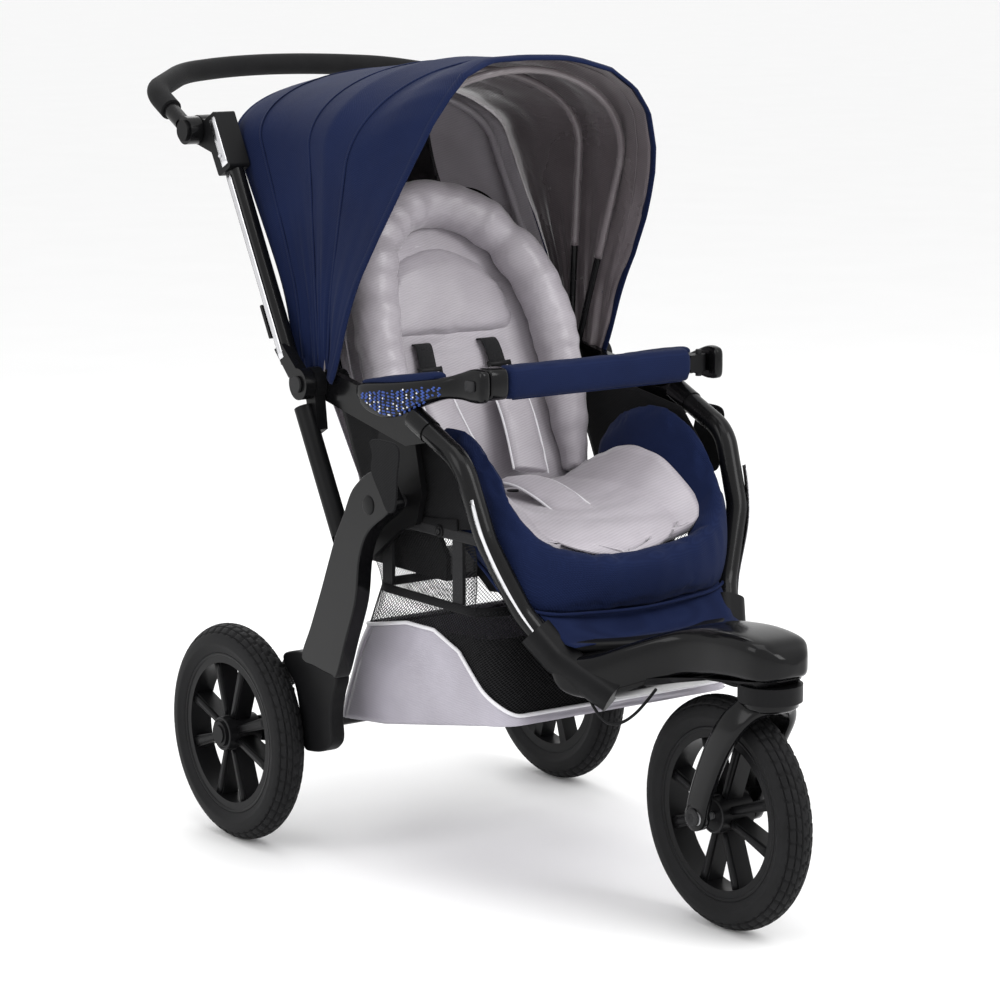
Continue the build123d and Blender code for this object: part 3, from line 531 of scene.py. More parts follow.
def arch_point(angle, s, inset=0.0):
    """Point of the canopy at a nominal fan angle; s runs from 0 at the right foot over the top to 1."""
    near = min(angle, ARCHES[-1, 0])
    x, r = bow_shape(CANOPY_HALF - inset, smooth_value(near, ARCHES[:, 0], ARCHES[:, 1]) - inset,
                     smooth_value(near, ARCHES[:, 0], ARCHES[:, 2]), s)
    if angle > near:
        mix = (angle - near) / (CANOPY_END - near)
        ex, er = curve_value(FRONT_EDGE, 2 * min(s, 1 - s))
        turn = float(np.interp(ex, [k[0] for k in FRONT_TURN], [k[1] for k in FRONT_TURN]))
        ex, er = copysign(max(0.0, ex - inset), s - 0.5), er - inset * min(1.0, er / 300)
        ease = mix * mix * (3 - 2 * mix)
        x, r = x * (1 - ease) + ex * ease, r * (1 - ease) + er * ease
        angle += turn * mix
    a = radians(angle)
    skirt = exp(-(min(s, 1 - s) / 0.07) ** 2)
    spread = float(np.interp(angle, (57, 86, 117), (26, 0, -16))) * skirt
    return np.array((x, HUB[0] + r * cos(a) + spread, HUB[1] + r * sin(a) - 20 * skirt))


def sag(angle):
    """How far the cloth hangs in between the bows, in mm."""
    for low, high, depth in ((60, 94, 7), (94, 110, 3)):
        if low <= angle <= high:
            return depth * sin(pi * (angle - low) / (high - low))
    return 0.0


def folds(angle, s, amount):
    """Gathers that run up from the hub and soften towards the top."""
    edge = min(s, 1 - s)
    near = exp(-(edge / 0.16) ** 2)
    wave = sin(angle * 0.62 + 9 * edge) + 0.6 * sin(angle * 1.37 + 2.1 - 14 * edge)
    return amount * near * wave


def canopy_rows(first, last, rows, columns, inset, amount, seed):
    out = []
    for angle in np.linspace(first, last, rows):
        row = []
        for s in np.linspace(0, 1, columns):
            drop = inset + sag(angle) + folds(angle, s, amount)
            p = arch_point(angle, s, drop)
            p += noise.noise(Vector(p) / 42.0 + Vector((seed, 0, 0))) * amount * 0.7
            row.append(p)
        out.append(row)
    return out


def fan_blend(obj):
    """Bakes a canopy piece's placement; the cloth opens like a fan on the chair, but here its points
    stay as built.
    """
    rear, front = arch_point(57, 0.5), arch_point(CANOPY_END, 0.5)
    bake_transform(obj)


def canopy():
    outer = sheet_mesh("canopy_outer", canopy_rows(57, CANOPY_END, 61, 141, 0.6, 1.5, 3.0),
                       "navy_fabric", 1.2)
    fan_blend(outer)
    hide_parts("canopy_fabric")
    lining = sheet_mesh("canopy_lining", canopy_rows(58.5, CANOPY_END - 0.8, 61, 141, 3.6, 2.6, 8.0),
                        "lining_fabric", 0.8)
    fan_blend(lining)
    for angle, name in ((66, "rear"), (86, "middle"), (103, "front")):
        line = [arch_point(angle, s, sag(angle) + folds(angle, s, 1.5) - 0.6)
                for s in np.linspace(0.02, 0.98, 110)]
        seam = sweep(f"canopy_seam_{name}", line, slab(5.0, 1.3), "navy_fabric", side=fan_side(angle))
        fan_blend(seam)
    for angle, name, width in ((57.5, "rear", 9.0), (CANOPY_END - 0.5, "front", 12.0)):
        line = [arch_point(angle, s, 1.2) for s in np.linspace(0.0, 1.0, 120)]
        hem = sweep(f"canopy_hem_{name}", line, slab(width, 4.6, 2.2), "navy_fabric",
                    side=fan_side(angle))
        fan_blend(hem)
    stitched = [arch_point(112.5, s, 5.0) for s in np.linspace(0.06, 0.94, 110)]
    inner = sweep("canopy_visor_seam", stitched, slab(2.2, 1.0), "lining_fabric", side=fan_side(112.5))
    fan_blend(inner)
    for name, body, apex, rise, half, angle, look in (
            ("rear", "chassis", 430, 92, 185, 60, "grey_fabric"),
            ("middle", "canopy_middle", 404, 110, 194, 94, "lining_fabric"),
            ("front", "canopy_front", 434, 150, 203, 110, "lining_fabric")):
        line = []
        a = radians(angle)
        for s in np.linspace(0.16, 0.84, 90):
            x, r = bow_shape(half, apex, rise, s, 0.0)
            line.append((x, HUB[0] + r * cos(a), HUB[1] + r * sin(a)))
        sleeve = sweep(f"bow_sleeve_{name}", line, circle(5.5, 12), look)
        crumple(sleeve, 0.8, 14.0, angle)
        finish(sleeve, body)


def fan_side(angle):
    """Direction across an arch, tangent to the cloth."""
    a = radians(angle)
    return (0, -sin(a), cos(a))


# ------------------------------------------------------------------ back and seat
def back_point(x, u, v):
    """Point on the backrest: u up the board, v forward of it."""
    c, s = cos(BACK_TILT), sin(BACK_TILT)
    return np.array((x, BACK_FOOT[0] + u * s - v * c, BACK_FOOT[1] + u * c + v * s))


def rear_curtain():
    """Cloth from the rear bow down to the top of the backrest, with a dark window."""
    lower = [(-163, 60), (-165, 160), (-164, 290), (-156, 350), (-132, 400), (-92, 436), (-46, 450),
             (0, 452)]
    lower += [(-x, u) for x, u in lower[-2::-1]]

    def at(s, t):
        top = arch_point(59.5, 0.1 + 0.8 * s, 8.0)
        low = back_point(*curve_value(lower, s), -40)
        p = top * (1 - t) + low * t
        p[1] += 16 * sin(pi * t) * sin(pi * s)
        ruck = drift(s * 14, t * 3, 5.0) * 5 * sin(pi * t)
        return p + np.array((0, ruck, ruck * 0.4))
    rows = [[at(s, t) for s in np.linspace(0, 1, 121)] for t in np.linspace(0, 1, 21)]
    cloth = sheet_mesh("rear_curtain", rows, "grey_fabric", 0.9)
    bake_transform(cloth)
    pane_rows = []
    for t in np.linspace(0.12, 0.9, 12):
        pane_rows.append([at(s, t) + np.array((0, -2.2, -0.6)) for s in np.linspace(0.42, 0.58, 22)])
    pane = sheet_mesh("rear_window", pane_rows, "window_film", 0.8)
    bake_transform(pane)
    return cloth


def pad_mesh(name, outline, front, rear, look, crown=2.6, rings=14):
    """Cushion over a closed outline in the back's plane: full in the middle, drawn in at the edge.

    outline gives (x, u) pairs round the pad; front and rear give v at (x, u, share from the middle).
    """
    outline = np.array(outline, float)
    centre = outline.mean(0)
    count = len(outline)
    points, faces = [], []
    for face, depth in ((0, front), (1, rear)):
        for ring in range(1, rings + 1):
            share = ring / rings
            for x, u in centre + (outline - centre) * share:
                fall = (1 - share ** crown) ** (1 / crown)
                points.append(back_point(x, u, depth(x, u, fall)))
        x, u = centre
        points.append(back_point(x, u, depth(x, u, 1.0)))
    half = rings * count + 1
    for side in (0, 1):
        first = side * half
        for face in grid_faces(rings, count, False, True, first):
            faces.append(face if side else face[::-1])
        top = first + half - 1
        for j in range(count):
            a, b = first + j, first + (j + 1) % count
            faces.append((top, a, b) if side == 0 else (top, b, a))
    last = (rings - 1) * count
    for j in range(count):
        a, b = last + j, last + (j + 1) % count
        faces.append((a, b, half + b, half + a))
    obj = add_mesh(name, points, faces, look)
    modify(obj, "WELD", merge_threshold=0.0002)
    return obj


def arched(half, low, high, top_radius, count=72):
    """Outline with a straight foot and an arched top, in (x, u)."""
    pts = []
    for a in np.linspace(0, pi, count // 2):
        pts.append((half * cos(a), high - top_radius + top_radius * sin(a)))
    for u in np.linspace(high - top_radius, low + 18, count // 6):
        pts.append((-half, u))
    for x in np.linspace(-half + 14, half - 14, count // 6):
        pts.append((x, low))
    for u in np.linspace(low + 18, high - top_radius, count // 6):
        pts.append((half, u))
    clean = [pts[0]]
    for p in pts[1:]:
        if dist(p, clean[-1]) > 2.0:
            clean.append(p)
    if dist(clean[0], clean[-1]) < 2.0:
        clean.pop()
    return clean


def back_cushions():
    """Seat back liner: the lower pad, the head pad above its seam, and the gathered ring round them."""
    def lower_front(x, u, fall):
        rise = -4 + 10 * fall
        side = 16 * (abs(x) / 150) ** 3
        seam = -4.0 * exp(-((u - 232) / 7) ** 2)
        return rise + side * fall + seam

    lower = pad_mesh("back_pad", arched(160, 14, 458, 150), lower_front, lambda x, u,
                     f: -31 + 2 * (1 - f), "grey_fabric", rings=26)
    crumple(lower, 2.4, 60, 1.0)
    crumple(lower, 0.8, 22, 4.0)
    finish(lower, "backrest", ["backrest_pad"])

    head = pad_mesh("head_pad", arched(118, 238, 372, 105), lambda x, u, f: -2 + 17 * f,
                    lambda x, u, f: -6 * f - 1, "grey_fabric", rings=16)
    puff(head, 5.0)
    crumple(head, 1.8, 45, 7.0)
    finish(head, "backrest")
    seam_line = [back_point(118 * cos(a), 267 + 106 * sin(a), 3.0) for a in np.linspace(0.0, pi, 60)]
    seam = sweep("head_pad_seam", seam_line, circle(1.5, 8), "white_piping")
    finish(seam, "backrest")

    # ring from the seat up one side, round the head and down again
    control = [(140, 36, 22, 30), (143, 110, 30, 34), (144, 190, 38, 38), (140, 262, 42, 41),
               (122, 332, 36, 41), (88, 388, 24, 40), (46, 418, 16, 40), (0, 428, 13, 40)]
    control = control + [(-x, u, v, r) for x, u, v, r in control[-2::-1]]
    path = curve_through(control, 14)
    loops = []
    count = 28
    line = np.array([back_point(x, u, v) for x, u, v, r in path])
    length = np.concatenate([[0], np.cumsum(np.linalg.norm(np.diff(line, axis=0), axis=1))])
    tangent, _, _ = frames(line)
    forward = np.array(back_point(0, 0, 1) - back_point(0, 0, 0))
    total = length[-1]
    for i, (x, u, v, r) in enumerate(path):
        t = tangent[i]
        out = np.cross(t, forward)
        out /= np.linalg.norm(out)
        norm = np.cross(out, t)
        share = length[i] / total
        taper = min(1.0, 0.72 + 3 * share, 0.72 + 3 * (1 - share))
        pinch = 1.0 - 0.2 * sum(exp(-((length[i] - total * k) / 10) ** 2) for k in (0.365, 0.635))
        loop = []
        for j in range(count):
            a = 2 * pi * j / count
            gather = 0.045 * sin(length[i] / 5.2 + 1.5 * sin(length[i] / 31)) * (0.4 + abs(sin(a)))
            gather *= 0.5 + 0.8 * drift(length[i] / 40, j * 0.2, 2)
            k = r * taper * pinch * (1 + gather)
            flat = 0.62 if sin(a) < 0 else 0.86
            loop.append(line[i] + out * cos(a) * k * 0.82 + norm * sin(a) * k * flat)
        loops.append(loop)
    ring = loops_mesh("head_ring", loops, "grey_fabric")
    crumple(ring, 2.2, 30, 11.0)
    puff(ring, 6.0)
    finish(ring, "backrest", ["head_bolster"])
    edge = [back_point(x * 1.205 + (2 if x > 0 else -2), u + 30 * exp(-(x / 90) ** 2), v * 0.5 - 8)
            for x, u, v, r in path[8:-8]]
    trim = sweep("head_ring_piping", edge, circle(1.8, 8), "grey_fabric")
    finish(trim, "backrest")


RIM = [  # inner edge, crest and hem of the raised seat edge, from the rear of the wing to the middle
    ((146, 30, 498), (164, 34, 545), (179, 30, 470)),
    ((141, -20, 520), (163, -14, 588), (181, -10, 470)),
    ((140, -70, 538), (165, -64, 604), (183, -58, 470)),
    ((142, -122, 534), (168, -128, 602), (183, -122, 466)),
    ((147, -166, 503), (171, -186, 566), (182, -178, 436)),
    ((143, -200, 470), (166, -230, 506), (176, -224, 404)),
    ((112, -217, 452), (132, -256, 462), (140, -252, 386)),
    ((60, -224, 446), (66, -268, 444), (68, -266, 381)),
    ((0, -226, 444), (0, -272, 440), (0, -270, 379)),]


def mirrored_run(half):
    """Runs a list of point groups to the middle and back up the other side."""
    other = [tuple((-x, y, z) for x, y, z in group) for group in half[-2::-1]]
    return list(half) + other


def on_seat(obj, replaced=()):
    """Seat cloth: bakes its placement and hides the parts it replaces; it stays as built where the
    legrest lifts.
    """
    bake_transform(obj)
    if replaced:
        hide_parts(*replaced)


def seat():
    stations = mirrored_run(RIM)
    lines = [curve_through([group[k] for group in stations], 10) for k in range(3)]
    loops = []
    for i in range(len(lines[0])):
        inner, crest, hem = (line[i] for line in lines)
        centre = (inner + crest + hem) / 3
        into = np.array((-inner[0], 20 - inner[1], 0.0))
        into /= np.linalg.norm(into)
        control = [inner - np.array((0, 0, 10)), inner,
                   inner * 0.45 + crest * 0.55 + np.array((0, 0, 7)),
                   crest, crest * 0.55 + hem * 0.45 - into * 5, hem, hem + into * 11,
                   (inner - np.array((0, 0, 10))) * 0.5 + (hem + into * 11) * 0.5]
        loop = curve_through(control, 4, True)
        ripple = 1.5 * sin(i * 1.25 + 1.2 * sin(i / 5)) * (0.6 + drift(i / 7, 0, 3))
        front = 1.0 if inner[1] < -190 else 0.35
        shifted = []
        for j, p in enumerate(loop):
            out = (p - centre) / (np.linalg.norm(p - centre) + 1e-6)
            shifted.append(p + out * ripple * front * (0.8 if 8 <= j <= 20 else 0.25))
        loops.append(shifted)
    rim = loops_mesh("seat_edge", loops, "navy_fabric")
    crumple(rim, 1.6, 48, 5.0)
    puff(rim, 5.0)
    on_seat(rim, ["seat_rims", "legrest_pad"])
    hem_line = [p + np.array((0, 0, -1.0)) for p in lines[2]]
    hem = sweep("seat_edge_hem", hem_line, circle(2.4, 8), "navy_fabric")
    on_seat(hem)

    # grey cushion inside the raised edge
    inner = lines[0]
    half = len(inner) // 2
    ys = inner[:half + 1, 1][::-1]
    widths = inner[:half + 1, 0][::-1]
    heights = inner[:half + 1, 2][::-1]
    rows = []
    for y in np.concatenate([np.linspace(36, -200, 44), np.linspace(-204, -234, 9)]):
        w = float(np.interp(y, ys, widths)) + 5
        side_z = float(np.interp(y, ys, heights)) + 2
        middle = float(np.interp(y, [-234, -222, -200, -150, -60, 36], [418, 446, 458, 466, 468, 474]))
        row = []
        for k in np.linspace(-1, 1, 45):
            z = middle + (side_z - middle) * abs(k) ** 3.2
            z -= 3.0 * exp(-((abs(k) - 0.72) / 0.07) ** 2)
            z += 5 * cos(k * pi / 2) * sin(pi * min(1, max(0, (36 - y) / 262)))
            x = k * w
            z += 1.6 * drift(x / 38, y / 30, 2) + 0.8 * sin(y / 6.5 + x / 60) * 0.5
            row.append((x, y, z))
        rows.append(row)
    cushion = sheet_mesh("seat_liner", rows, "grey_fabric", 15, -1.0)
    on_seat(cushion, ["seat_cushion"])


# ------------------------------------------------------------------ belts
def belts():
    for side, name in SIDES:
        line = curve_through([back_point(side * 52, 236, -6), back_point(side * 54, 233, 12),
                              back_point(side * 56, 215, 17), back_point(side * 58, 180, 18),
                              back_point(side * 60, 150, 22)], 6)
        strap = sweep(f"shoulder_belt_{name}", line, slab(27, 2.4), "webbing", side=(1, 0, 0))
        adjuster = []
        for u in (196, 182):
            adjuster.append(sweep("bar", [back_point(side * 57 - 18, u, 21),
                                          back_point(side * 57 + 18, u, 21)],
                                  slab(6, 6, 2), "bush_plastic",
                                  side=back_point(0, 1, 0) - back_point(0, 0, 0)))
        for x in (-17, 17):
            adjuster.append(sweep("bar", [back_point(side * 57 + x, 199, 21),
                                          back_point(side * 57 + x, 166, 21)],
                                  slab(5, 6, 2), "bush_plastic", side=(1, 0, 0)))
        buckle = joined(f"belt_adjuster_{name}", adjuster)
        if side < 0:
            finish(strap, "backrest", ["shoulder_belts"])
        else:
            finish(strap, "backrest")
        finish(buckle, "backrest")
        # padded sleeve on the belt
        control = [back_point(side * 60, 158, 24), back_point(side * 58, 120, 34),
                   back_point(side * 52, 80, 44), back_point(side * 42, 36, 56)]
        pad_line = curve_through(control, 8)
        pad = sweep(f"shoulder_pad_{name}", pad_line, slab(52, 15, 6.5), "grey_fabric",
                    side=(1, 0, 0.0))
        modify(pad, "SUBSURF", levels=1)
        crumple(pad, 1.6, 24, side)
        finish(pad, "backrest")
        _, sides, _ = frames(pad_line, (1, 0, 0))
        for edge in (-1, 1):
            piping = sweep(f"shoulder_pad_piping_{name}_{'a' if edge < 0 else 'b'}",
                           pad_line + sides * edge * 26.5, circle(1.7, 8), "white_piping")
            finish(piping, "backrest")
    crotch = curve_through([(0, -2, 506), (0, -40, 506), (0, -84, 497), (0, -128, 483),
                            (0, -154, 478)], 7)
    pad = sweep("crotch_pad", crotch, slab(62, 13, 6), "grey_fabric", side=(1, 0, 0))
    modify(pad, "SUBSURF", levels=1)
    crumple(pad, 1.4, 22, 9.0)
    finish(pad, "chassis", ["crotch_strap"])
    _, sides, _ = frames(crotch, (1, 0, 0))
    for edge in (-1, 1):
        piping = sweep(f"crotch_pad_piping_{'a' if edge < 0 else 'b'}", crotch + sides * edge * 31.5,
                       circle(1.8, 8), "white_piping")
        finish(piping, "chassis")
    strap = sweep("crotch_belt", curve_through([(0, -144, 478), (0, -164, 474), (0, -172, 464)], 5),
                  slab(30, 2.4), "webbing", side=(1, 0, 0))
    finish(strap, "chassis")


# ------------------------------------------------------------------ side walls and leg panel
def side_walls():
    for side, name in SIDES:
        rows = []
        for t in np.linspace(0, 1, 14):
            row = []
            for s in np.linspace(0, 1, 40):
                top = curve_value([(-176, 486), (-150, 560), (-110, 600), (40, 622), (128, 606)], s)
                low = curve_value([(-176, 486), (-120, 478), (-60, 470), (20, 480), (70, 488)], s)
                y, z = top[0] * (1 - t) + low[0] * t, top[1] * (1 - t) + low[1] * t
                bulge = 1.2 * drift(s * 6, t * 3, side)
                row.append((side * (192 + bulge), y, z))
            rows.append(row)
        wall = sheet_mesh(f"side_wall_{name}", rows, "black_fabric", 1.6)
        finish(wall, "chassis", ["side_panels"] if side < 0 else [])


def leg_cloth():
    rows = []
    for t in np.linspace(0, 1, 16):
        row = []
        y, z = curve_value([(-236, 394), (-262, 374), (-288, 352), (-304, 350)], t)
        half = 150 - 18 * t
        for k in np.linspace(-1, 1, 31):
            dip = 2.0 * drift(k * 3, t * 2, 4) - 6 * sin(pi * t) * (1 - k * k)
            row.append((k * half, y, z + dip))
        rows.append(row)
    cloth = sheet_mesh("leg_cloth", rows, "navy_fabric", 1.6)
    finish(cloth, "chassis", ["leg_panel"])


# ------------------------------------------------------------------ bumper and armrests
GATE = (170.0, -171.5)


def bumper():
    y = GATE[1]
    loops = []
    for x in np.linspace(-146, 146, 61):
        end = min(1.0, (146 - abs(x)) / 12 + 0.74)
        loop = []
        for a in round_angles(28):
            c, s = cos(a), sin(a)
            ry, rz = 17.0 * end, 21.0 * end
            py = copysign(abs(c) ** 0.62, c) * ry
            pz = copysign(abs(s) ** 0.62, s) * rz
            slack = 0.8 * drift(x / 30, a * 1.2, 3)
            loop.append((x, y + py * (1 + slack / 17), 668 + pz * (1 + slack / 21)))
        loops.append(loop)
    cover = loops_mesh("bumper_sleeve", loops, "navy_fabric")
    finish(cover, "bumper", ["bumper_cover"])
    low_edge = [(x, y - 6, 647.3) for x in np.linspace(-136, 136, 30)]
    seam = sweep("bumper_sleeve_seam", low_edge, circle(1.6, 8), "navy_fabric")
    finish(seam, "bumper")
    for side, name in SIDES:
        rows = [(34, 211, 25, 648.2, 655), (10, 211, 26, 650.5, 659.5), (-30, 210.5, 26, 656, 667),
                (-64, 207, 25, 660.5, 673), (-98, 200, 24, 666.5, 678), (-108, 198, 21, 668.5, 675)]
        loops = []
        dense = curve_through([list(map(float, r)) for r in rows], 6)
        for k, (py, x, width, low, high) in enumerate(dense):
            end = min(1.0, 0.8 + 0.1 * min(k, len(dense) - 1 - k))
            loop = []
            for a in round_angles(24):
                c, s = cos(a), sin(a)
                px = copysign(abs(c) ** 0.7, c) * width / 2 * end
                pz = copysign(abs(s) ** 0.6, s) * (high - low) / 2 * end
                loop.append((side * x + px, py, (low + high) / 2 + pz))
            loops.append(loop)
        pad = loops_mesh(f"armrest_pad_{name}", loops, "navy_fabric")
        crumple(pad, 0.8, 26, side)
        finish(pad, "chassis", ["armrest_covers"] if side < 0 else [])
        patch(side, name, bracket(side, name))
    button = [[(-x, GATE[1] + a * k, 667.5 + b * k) for a, b in rounded_pairs(8.5, 7.0, 0.4, 24)]
              for x, k in ((188, 1.0), (199.2, 1.0), (200, 0.92))]
    finish(loops_mesh("bumper_catch_button", button, "bush_plastic"), "bumper_catch",
           ["bumper_release"])


BRACKET_ROWS = [(38, 224, 3, 639, 645), (34, 223.5, 6, 632, 649), (18, 222, 9, 619, 653),
                (-14, 219.5, 10, 612, 657),
                (-44, 215, 11, 616, 661), (-84, 208, 11, 633, 667), (-124, 198.5, 11, 646, 674),
                (-150, 191.5, 9, 648, 682),
                (-172, 189, 8, 646, 689), (-190, 188, 7, 648, 687), (-194, 187.5, 3, 656, 679)]


def bracket(side, name):
    """Smooth tapering bracket from the arm to the bumper's end, and on the right side the rounded cap
    of that end.
    """
    rows = curve_through([list(map(float, r)) for r in BRACKET_ROWS], 5)
    loops = []
    for y, x, half, low, high in rows:
        loops.append([(side * x + a, y, (low + high) / 2 + b)
                      for a, b in rounded_pairs(half, (high - low) / 2, 0.5, 32)])
    shell = loops_mesh(f"bumper_bracket_{name}", loops, "gloss_black")
    finish(shell, "chassis", ["bumper_brackets"] if side < 0 else [])
    loops = []
    for x, scale in ((149, 0.9), (150.5, 0.98), (153, 1.0), (173, 1.0), (175.5, 0.97), (176.6, 0.88)):
        loops.append([(side * x, GATE[1] + a * scale, 668 + b * scale) for a,
                      b in rounded_pairs(17.0, 20.5, 0.55, 32)])
    if side < 0:
        finish(loops_mesh(f"bumper_end_{name}", loops, "gloss_black"), "bumper")
    return shell


def patch(side, name, bracket_shell):
    """Dotted trim set into the outer face of the bracket, narrowing to the front."""
    dots = {"dot_blue": [], "dot_white": []}
    rng = np.random.default_rng(7)
    top = [(24, 641), (-46, 651), (-104, 662), (-134, 666)]
    low = [(24, 633), (-20, 616), (-46, 615), (-104, 641), (-134, 655)]
    for iy, y in enumerate(np.arange(20, -128, -4.4)):
        zt = float(np.interp(-y, [-p[0] for p in top], [p[1] for p in top]))
        zl = float(np.interp(-y, [-p[0] for p in low], [p[1] for p in low]))
        for z in np.arange(zl + 2, zt - 1, 4.0):
            if rng.random() < 0.12 + 0.5 * max(0, (-y - 70) / 60):
                continue
            white = rng.random() < 0.16
            size = 1.5 if white else float(rng.uniform(1.3, 1.9))
            dots["dot_white" if white else "dot_blue"].append((y + (2.2 if iy % 2 else 0), z, size))
    tree = BVHTree.FromObject(bracket_shell, bpy.context.evaluated_depsgraph_get())
    for look, spots in dots.items():
        points, faces = [], []
        for y, z, size in spots:
            found = tree.ray_cast(Vector(spot(side * 320, y, z)), Vector((-side, 0, 0)))[0]
            if found is None or abs(found.x) < 0.18:
                continue
            x = found.x * 1000
            start = len(points)
            for depth, scale in ((-0.8, 1.0), (0.5, 1.0), (0.9, 0.6)):
                for a in round_angles(8):
                    long = 1.5 if look == "dot_blue" else 1.0
                    points.append((x + side * depth, y + size * scale * long * cos(a),
                                   z + size * scale * 0.8 * sin(a)))
            faces += grid_faces(3, 8, False, True, start)
            faces.append(tuple(start + 16 + i for i in range(8)))
            faces.append(tuple(start + i for i in range(8))[::-1])
        obj = add_mesh(f"bracket_{look}_{name}", points, faces, look)
        finish(obj, "chassis")


# ------------------------------------------------------------------ basket
def basket_section(t):
    """Outline of the basket at share t from the rim down to the floor."""
    return 195.5 - 8 * t ** 1.15, -190 - 40 * t ** 0.8, 52 + 110 * t


def basket_floor(y):
    """Height of the basket's floor, which rises to the front."""
    return float(np.interp(y, (-260, -193, 37, 159), (244, 236, 193, 180)))


def basket_point(t, w):
    """Point of the basket's wall: w from 0 to 1 round the bag, from the rear of the right side."""
    half, y0, y1 = basket_section(t)
    r = 34.0

    def at(x, y):
        return np.array((x, y, 384 + (basket_floor(y) - 384) * t))

    straight_side, straight_end = (y1 - y0) - 2 * r, 2 * half - 2 * r
    arc = pi * r / 2
    total = 2 * straight_side + 2 * straight_end + 4 * arc
    d = w * total
    legs = [(straight_side, (-half, y1 - r), (0, -1)), (arc, (-half + r, y0 + r), pi),
            (straight_end, (-half + r, y0), (1, 0)), (arc, (half - r, y0 + r), 1.5 * pi),
            (straight_side, (half, y0 + r), (0, 1)), (arc, (half - r, y1 - r), 0.0),
            (straight_end, (half - r, y1), (-1, 0)), (arc, (-half + r, y1 - r), 0.5 * pi)]
    for length, start, direction in legs:
        if d <= length:
            if isinstance(direction, tuple):
                return at(start[0] + direction[0] * d, start[1] + direction[1] * d)
            a = direction + d / r
            return at(start[0] + r * cos(a), start[1] + r * sin(a))
        d -= length
    return at(-half, y1 - r)


GREY_TOP = ((-300, 229), (-251, 229), (-228, 251), (-188, 283), (-141, 324), (-88, 343), (-27, 342),
            (47, 327), (200, 300))


def grey_edge(w):
    """How far down the wall the satin panel starts."""
    y = basket_point(0.4, w)[1]
    for _ in range(3):
        top = float(np.interp(y, [p[0] for p in GREY_TOP], [p[1] for p in GREY_TOP]))
        t = min(0.97, max(0.0, (384 - top) / (384 - basket_floor(y))))
        y = basket_point(t, w)[1]
    return t


def basket_outward(p):
    out = np.array((p[0], 0.8 * (p[1] + 55), 0.0))
    return out / np.linalg.norm(out)


def basket():
    count, steps = 230, 34
    wall = [[basket_point(t, w) for w in np.linspace(0, 1, count, endpoint=False)]
            for t in np.linspace(0.0, 0.98, steps)]
    faces = []
    for i in range(steps - 1):
        for j in range(count):
            k = (j + 1) % count
            if 0.98 * (i + 0.5) / (steps - 1) > grey_edge((j + 0.5) / count) + 0.03:
                continue
            faces.append((i * count + j, i * count + k, (i + 1) * count + k, (i + 1) * count + j))
    net = add_mesh("basket_net", [p for row in wall for p in row], faces, "basket_net")
    diamond(net)
    modify(net, "WIREFRAME", thickness=0.0012, use_replace=True, use_even_offset=False)
    finish(net, "chassis", ["basket"])
    backing = [[basket_point(t, w) * (0.988, 0.988, 1) for w in np.linspace(0.13, 0.56, 81)]
               for t in np.linspace(0.25, 0.95, 16)]
    finish(sheet_mesh("basket_mesh_cloth", backing, "black_fabric", 0.6), "chassis")

    panel_rows = []
    for w in np.linspace(0, 1, 241):
        low = grey_edge(w % 1.0)
        row = []
        for k in np.linspace(0, 1, 22):
            p = basket_point(low + (1.0 - low) * k, w % 1.0)
            belly = 5 * sin(pi * k) * (1 - low) + 2.6 * drift(w * 26, k * 2.4, 1)
            row.append(p + basket_outward(p) * (1.4 + belly))
        panel_rows.append(row)
    panel = sheet_mesh("basket_panel", panel_rows, "basket_satin", 1.2)
    finish(panel, "chassis")
    half, y0, y1 = basket_section(1.0)
    floor_rows = []
    for s in np.linspace(-1, 1, 41):
        row = []
        for k in np.linspace(-1, 1, 41):
            ex = k * half * (1 - 0.045 * abs(s) ** 6)
            ey = (y0 + y1) / 2 + s * (y1 - y0) / 2 * (1 - 0.04 * abs(k) ** 6)
            drop = 3.0 * (1 - max(abs(s), abs(k)) ** 3)
            row.append((ex, ey, basket_floor(ey) + 1.4 - drop + 1.5 * drift(ex / 45, ey / 45, 2)))
        floor_rows.append(row)
    finish(sheet_mesh("basket_floor", floor_rows, "basket_satin", 1.6), "chassis")
    edge_line = []
    for w in np.linspace(0, 1, 260, endpoint=False):
        p = basket_point(grey_edge(w), w)
        edge_line.append(p + basket_outward(p) * 2.6)
    piping = sweep("basket_piping", edge_line, circle(2.6, 8), "white_piping", closed=True)
    finish(piping, "chassis")
    rim_line = [basket_point(0.0, w) + np.array((0, 0, -4))
                for w in np.linspace(0, 1, 160, endpoint=False)]
    rim = sweep("basket_rim", rim_line, slab(12, 3.0), "black_fabric", side=(0, 0, 1), closed=True)
    finish(rim, "chassis")
    for side, name in SIDES:
        rows = []
        for k in np.linspace(0, 1, 46):
            top = curve_value([(62, 428), (28, 466), (-104, 480), (-141, 484), (-176, 462)], k)
            low = curve_value([(30, 380), (-60, 380), (-160, 380), (-176, 380)], k)
            row = []
            for v in np.linspace(0, 1, 22):
                y, z = top * (1 - v) + low * v
                hollow = 3 * sin(pi * v) + 1.5 * drift(k * 7, v * 3, side)
                row.append((side * (193.5 - hollow), y, z))
            rows.append(row)
        upper = add_mesh(f"basket_side_net_{name}", [p for row in rows for p in row],
                         grid_faces(46, 22), "basket_net")
        diamond(upper)
        modify(upper, "WIREFRAME", thickness=0.0012, use_replace=True, use_even_offset=False)
        finish(upper, "chassis")
        band = sweep(f"basket_side_band_{name}", curve_through([(side * 194.5, y, z) for y,
                                    z in ((62, 430), (28, 466), (-104, 480), (-141, 484))], 8),
                     slab(20, 3.0), "black_fabric", side=(0, 0, 1))
        finish(band, "chassis")


